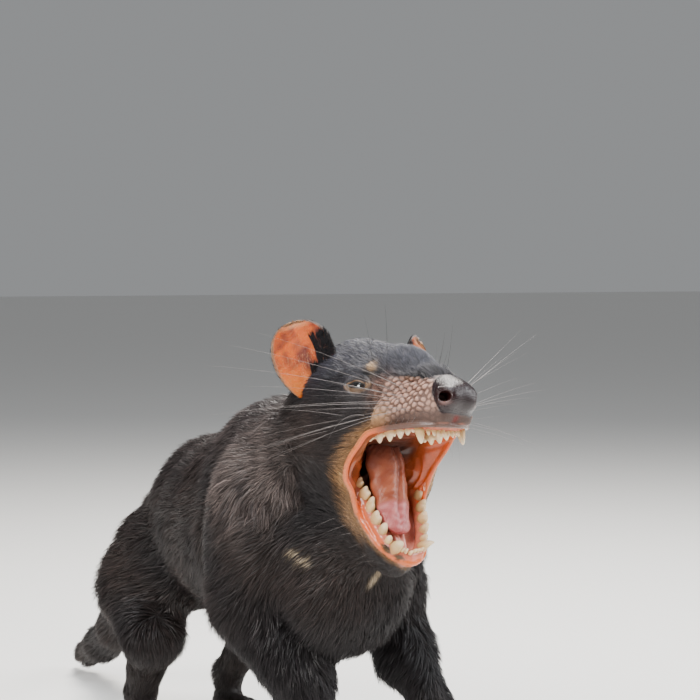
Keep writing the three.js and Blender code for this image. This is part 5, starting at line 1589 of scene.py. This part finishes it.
# Fur of the ears: dark on the back and the front edge, pale and fine along the rim
def ear_fur(s, side):
    """Short hair on both sides and the rim of an ear."""
    rng = np.random.default_rng(300 + s)
    zones = [
        # count, edge (u from, to), height (v from, to), side of the sheet, length, width, tone
        (6500, (-1, 1), (0.0, 0.96), -1, 4.6, 0.30, BLACK * 1.8),
        (3800, (-s * 0.42, -s * 1.0), (0.0, 0.74), 1, 6.5, 0.26, BLACK * 1.3),
        (1500, (-s * 0.12, -s * 0.5), (0.0, 0.34), 1, 7.0, 0.26, BLACK * 1.3),
        (1500, (-s * 0.94, -s * 1.0), (0.35, 1.0), 1, 3.2, 0.16, (0.30, 0.24, 0.22)),
        (2600, (s * 0.93, s * 1.0), (0.0, 1.0), 1, 2.4, 0.12, (0.36, 0.20, 0.12)),
        (900, (-1, 1), (0.965, 1.016), 1, 2.4, 0.12, (0.36, 0.20, 0.12)),
        (1500, (-0.9, 0.9), (0.05, 0.55), 1, 3.2, 0.10, (0.70, 0.32, 0.16)),
    ]
    rows = []
    for count, (u0, u1), (v0, v1), face, length, width, tone in zones:
        count = int(count * EAR_BLADE_SHARE)
        u, v = u0 + (u1 - u0) * rng.random(count), v0 + (v1 - v0) * rng.random(count)
        at = ear_point(s, u, v, face * EAR_THICK / 2)
        du = ear_point(s, u + 0.01, v, face * EAR_THICK / 2) - at
        dv = ear_point(s, u, v + 0.01, face * EAR_THICK / 2) - at
        n = unit(np.cross(du, dv))
        n = n * np.sign((n @ ear_axes(s)[1]) * face)[:, None]
        spread = 0.8 * du * np.sign(u)[:, None] * (np.abs(u) > 0.6)[:, None]
        way = unit(dv + spread + 0.002 * rng.normal(size=du.shape))
        tones = np.tile(np.asarray(tone, float), (count, 1))
        rows.append((at, n, way, length * rng.uniform(0.7, 1.2, count), np.full(count, width), tones))
    at, n, way, length, width, tones = (np.concatenate(column) for column in zip(*rows))
    chart = rolled(at, np.array([0, s * 39.5, 38]), (0, 0, 1), (1, 0, 0), -4, 62)
    lift = np.full(len(at), 22.0)
    blades("fur_ear_" + side, head(at), n @ HEAD.T, way @ HEAD.T, length, width, lift, tones, chart, 400 + s)


for s, side in SIDES:
    ear_fur(s, side)


# Whiskers: long tapering hairs
WHISKER_LENGTH = 124.0
WHISKER_LEAN = {1: (-0.25, 0.62), -1: (-0.62, 0.34)}


def whiskers(name, rows, tone):
    """Three-sided tapering tubes. A row is root, way, length, sag and radius, in the head's frame; the middle
    line is root + length (way t + sag t^2)."""
    root, way, length, sag, radius = (np.array(column, float) for column in zip(*rows))
    way = unit(way)
    t = np.linspace(-0.03, 1, 15)
    bent = way[:, None] * t[:, None] + sag[:, None] * (t * np.abs(t))[:, None]
    centre = root[:, None] + length[:, None, None] * bent
    side = unit(np.cross(way, [0.05, 0.02, 1.0]))
    up = np.cross(side, way)
    f = turn_steps(3)
    r = radius[:, None] * (1 - 0.88 * np.clip(t, 0, 1))
    ringed = (centre[:, :, None] + side[:, None, None] * (r[..., None] * np.cos(f))[..., None]
              + up[:, None, None] * (r[..., None] * np.sin(f))[..., None])
    pts, faces = gather([lofted(one) for one in ringed])
    make(name, head(pts), faces, WHISKER, "coat", Tone=np.tile(np.asarray(tone, float), (len(pts), 1)))


def on_skin(at, way, depth=0.8):
    """Point of the skin reached from a point of the head along a way."""
    return surface_from(at, np.array(way), depth)[0]


SAG = (-0.12, 0, -0.06)
rng = np.random.default_rng(77)
pale, dark = [], []
for s in PAIR:
    back, up = WHISKER_LEAN[s]
    for row in range(3):
        for place in range(3):
            vary = 0.06 * math.sin(7 * row + 4 * place + s)
            root = on_skin((62 + 8 * place, s * 8, 27 - 7 * row), [0, s, 0])
            way = (back + 0.13 * place + vary, s * 0.78, up - 0.3 * row + vary)
            length = WHISKER_LENGTH * (1 - 0.1 * place - 0.06 * row + vary)
            pale.append((root, way, length, SAG, 0.13))
    for k in range(12):
        at = (rng.uniform(60, 92), s * 8, rng.uniform(10, 30))
        way = (back * 0.8 + 0.3 * rng.normal() + 0.2 * (at[0] > 80), s * 0.78,
               up * 0.6 + 0.03 * (at[2] - 20) + 0.2 * rng.normal())
        length, sag = rng.uniform(22, 66), (-0.10 + 0.05 * rng.normal(), 0, -0.1 * rng.random())
        pale.append((on_skin(at, [0, s, 0]), way, length, sag, 0.09))
    for k in range(6):
        root = on_skin((64 + 5 * k, s * 12, 9), [0, s, -0.12], 0.6)
        way = (-0.35 + 0.15 * rng.normal(), s * (0.25 + 0.1 * rng.random()), -0.85)
        pale.append((root, way, rng.uniform(11, 24), (-0.15, 0, 0.05), 0.10))
    for k in range(5):
        root = on_skin((20 + 3 * k, s * 24, 4 + 3 * k), [0, s, 0], 1.5)
        pale.append((root, (-0.75, s * 0.62, -0.1 + 0.15 * rng.normal()), rng.uniform(36, 66), SAG, 0.10))
    for k in range(6):
        at = jaw((44 + 8 * k, s * (20 - 2 * k), -13))
        way = np.array(jaw((0.1, s * 0.8, -0.45))) + 0.2 * rng.normal(size=3)
        pale.append((on_skin(at, unit(way)), way, rng.uniform(8, 17), (-0.1, 0, -0.1), 0.09))
    brow = [0, s * 0.5, 0.86]
    dark.append((on_skin((60, s * 20, 36), brow), (0.22, s * 0.10, 1.0), 46, (-0.12, 0, 0), 0.22))
    dark.append((on_skin((48, s * 20, 40), brow), (0.10, s * 0.22, 1.0), 30, (-0.1, 0, 0), 0.2))
    for k in range(4):
        root = on_skin((44 + 4 * k, s * 18, 40), brow)
        dark.append((root, (-0.1 + 0.25 * rng.normal(), s * 0.35, 1.0), rng.uniform(13, 24), (-0.2, 0, 0), 0.16))
    pale.append((on_skin((48, s * 18, 14), [0, s, 0]), (-0.9, s * 0.55, 0.25), 34, (0.35, 0, -0.75), 0.17))
whiskers("whiskers_pale", pale, (0.24, 0.21, 0.20))
whiskers("whiskers_dark", dark, (0.012, 0.010, 0.010))

# Floor, light and camera
white, _, _ = material("floor", Base_Color=(0.80, 0.79, 0.77, 1), Roughness=0.9)
bpy.ops.mesh.primitive_plane_add(size=40)
floor = bpy.context.object
floor.name = "floor"
floor.data.materials.append(white)

world = bpy.data.worlds.new("studio")
bpy.context.scene.world = world
world.use_nodes = True
world.node_tree.nodes["Background"].inputs["Color"].default_value = (0.80, 0.82, 0.84, 1)
world.node_tree.nodes["Background"].inputs["Strength"].default_value = 0.36
# What the camera and the lamps face, the camera's place, and its focal length and film width
TARGET, CAMERA_AT = Vector(to_row((88.0, -1.7, 327.2))), Vector(to_row((1355.6, -592.9, 388.3)))
LENS, FILM = 105.5, 36.0
LAMPS = [
    # place from the head in the plan's frame, width, watts, colour
    ((1000, -1300, 1300), 0.9, 50, (1.0, 0.97, 0.93)),
    ((-900, 500, 1500), 0.9, 70, (1.0, 0.96, 0.90)),
    ((500, 1500, 700), 1.0, 30, (0.96, 0.98, 1.0)),
    ((300, -100, 1900), 1.0, 40, (0.90, 0.95, 1.0)),
]


def aim(thing, at):
    """Put a lamp or camera into the scene at a point, facing the target."""
    bpy.context.scene.collection.objects.link(thing)
    thing.location = at
    thing.rotation_euler = (TARGET - at).to_track_quat("-Z", "Y").to_euler()


for number, (place, width, watts, colour) in enumerate(LAMPS):
    light = bpy.data.lights.new(f"lamp_{number}", "AREA")
    light.size, light.energy, light.color = width, watts, colour
    aim(bpy.data.objects.new(f"lamp_{number}", light), TARGET + Vector(place) * 0.001)

camera = bpy.data.objects.new("camera", bpy.data.cameras.new("camera"))
camera.data.lens, camera.data.sensor_width = LENS, FILM
camera.data.clip_start, camera.data.clip_end = 0.05, 60
aim(camera, CAMERA_AT)
bpy.context.scene.camera = camera
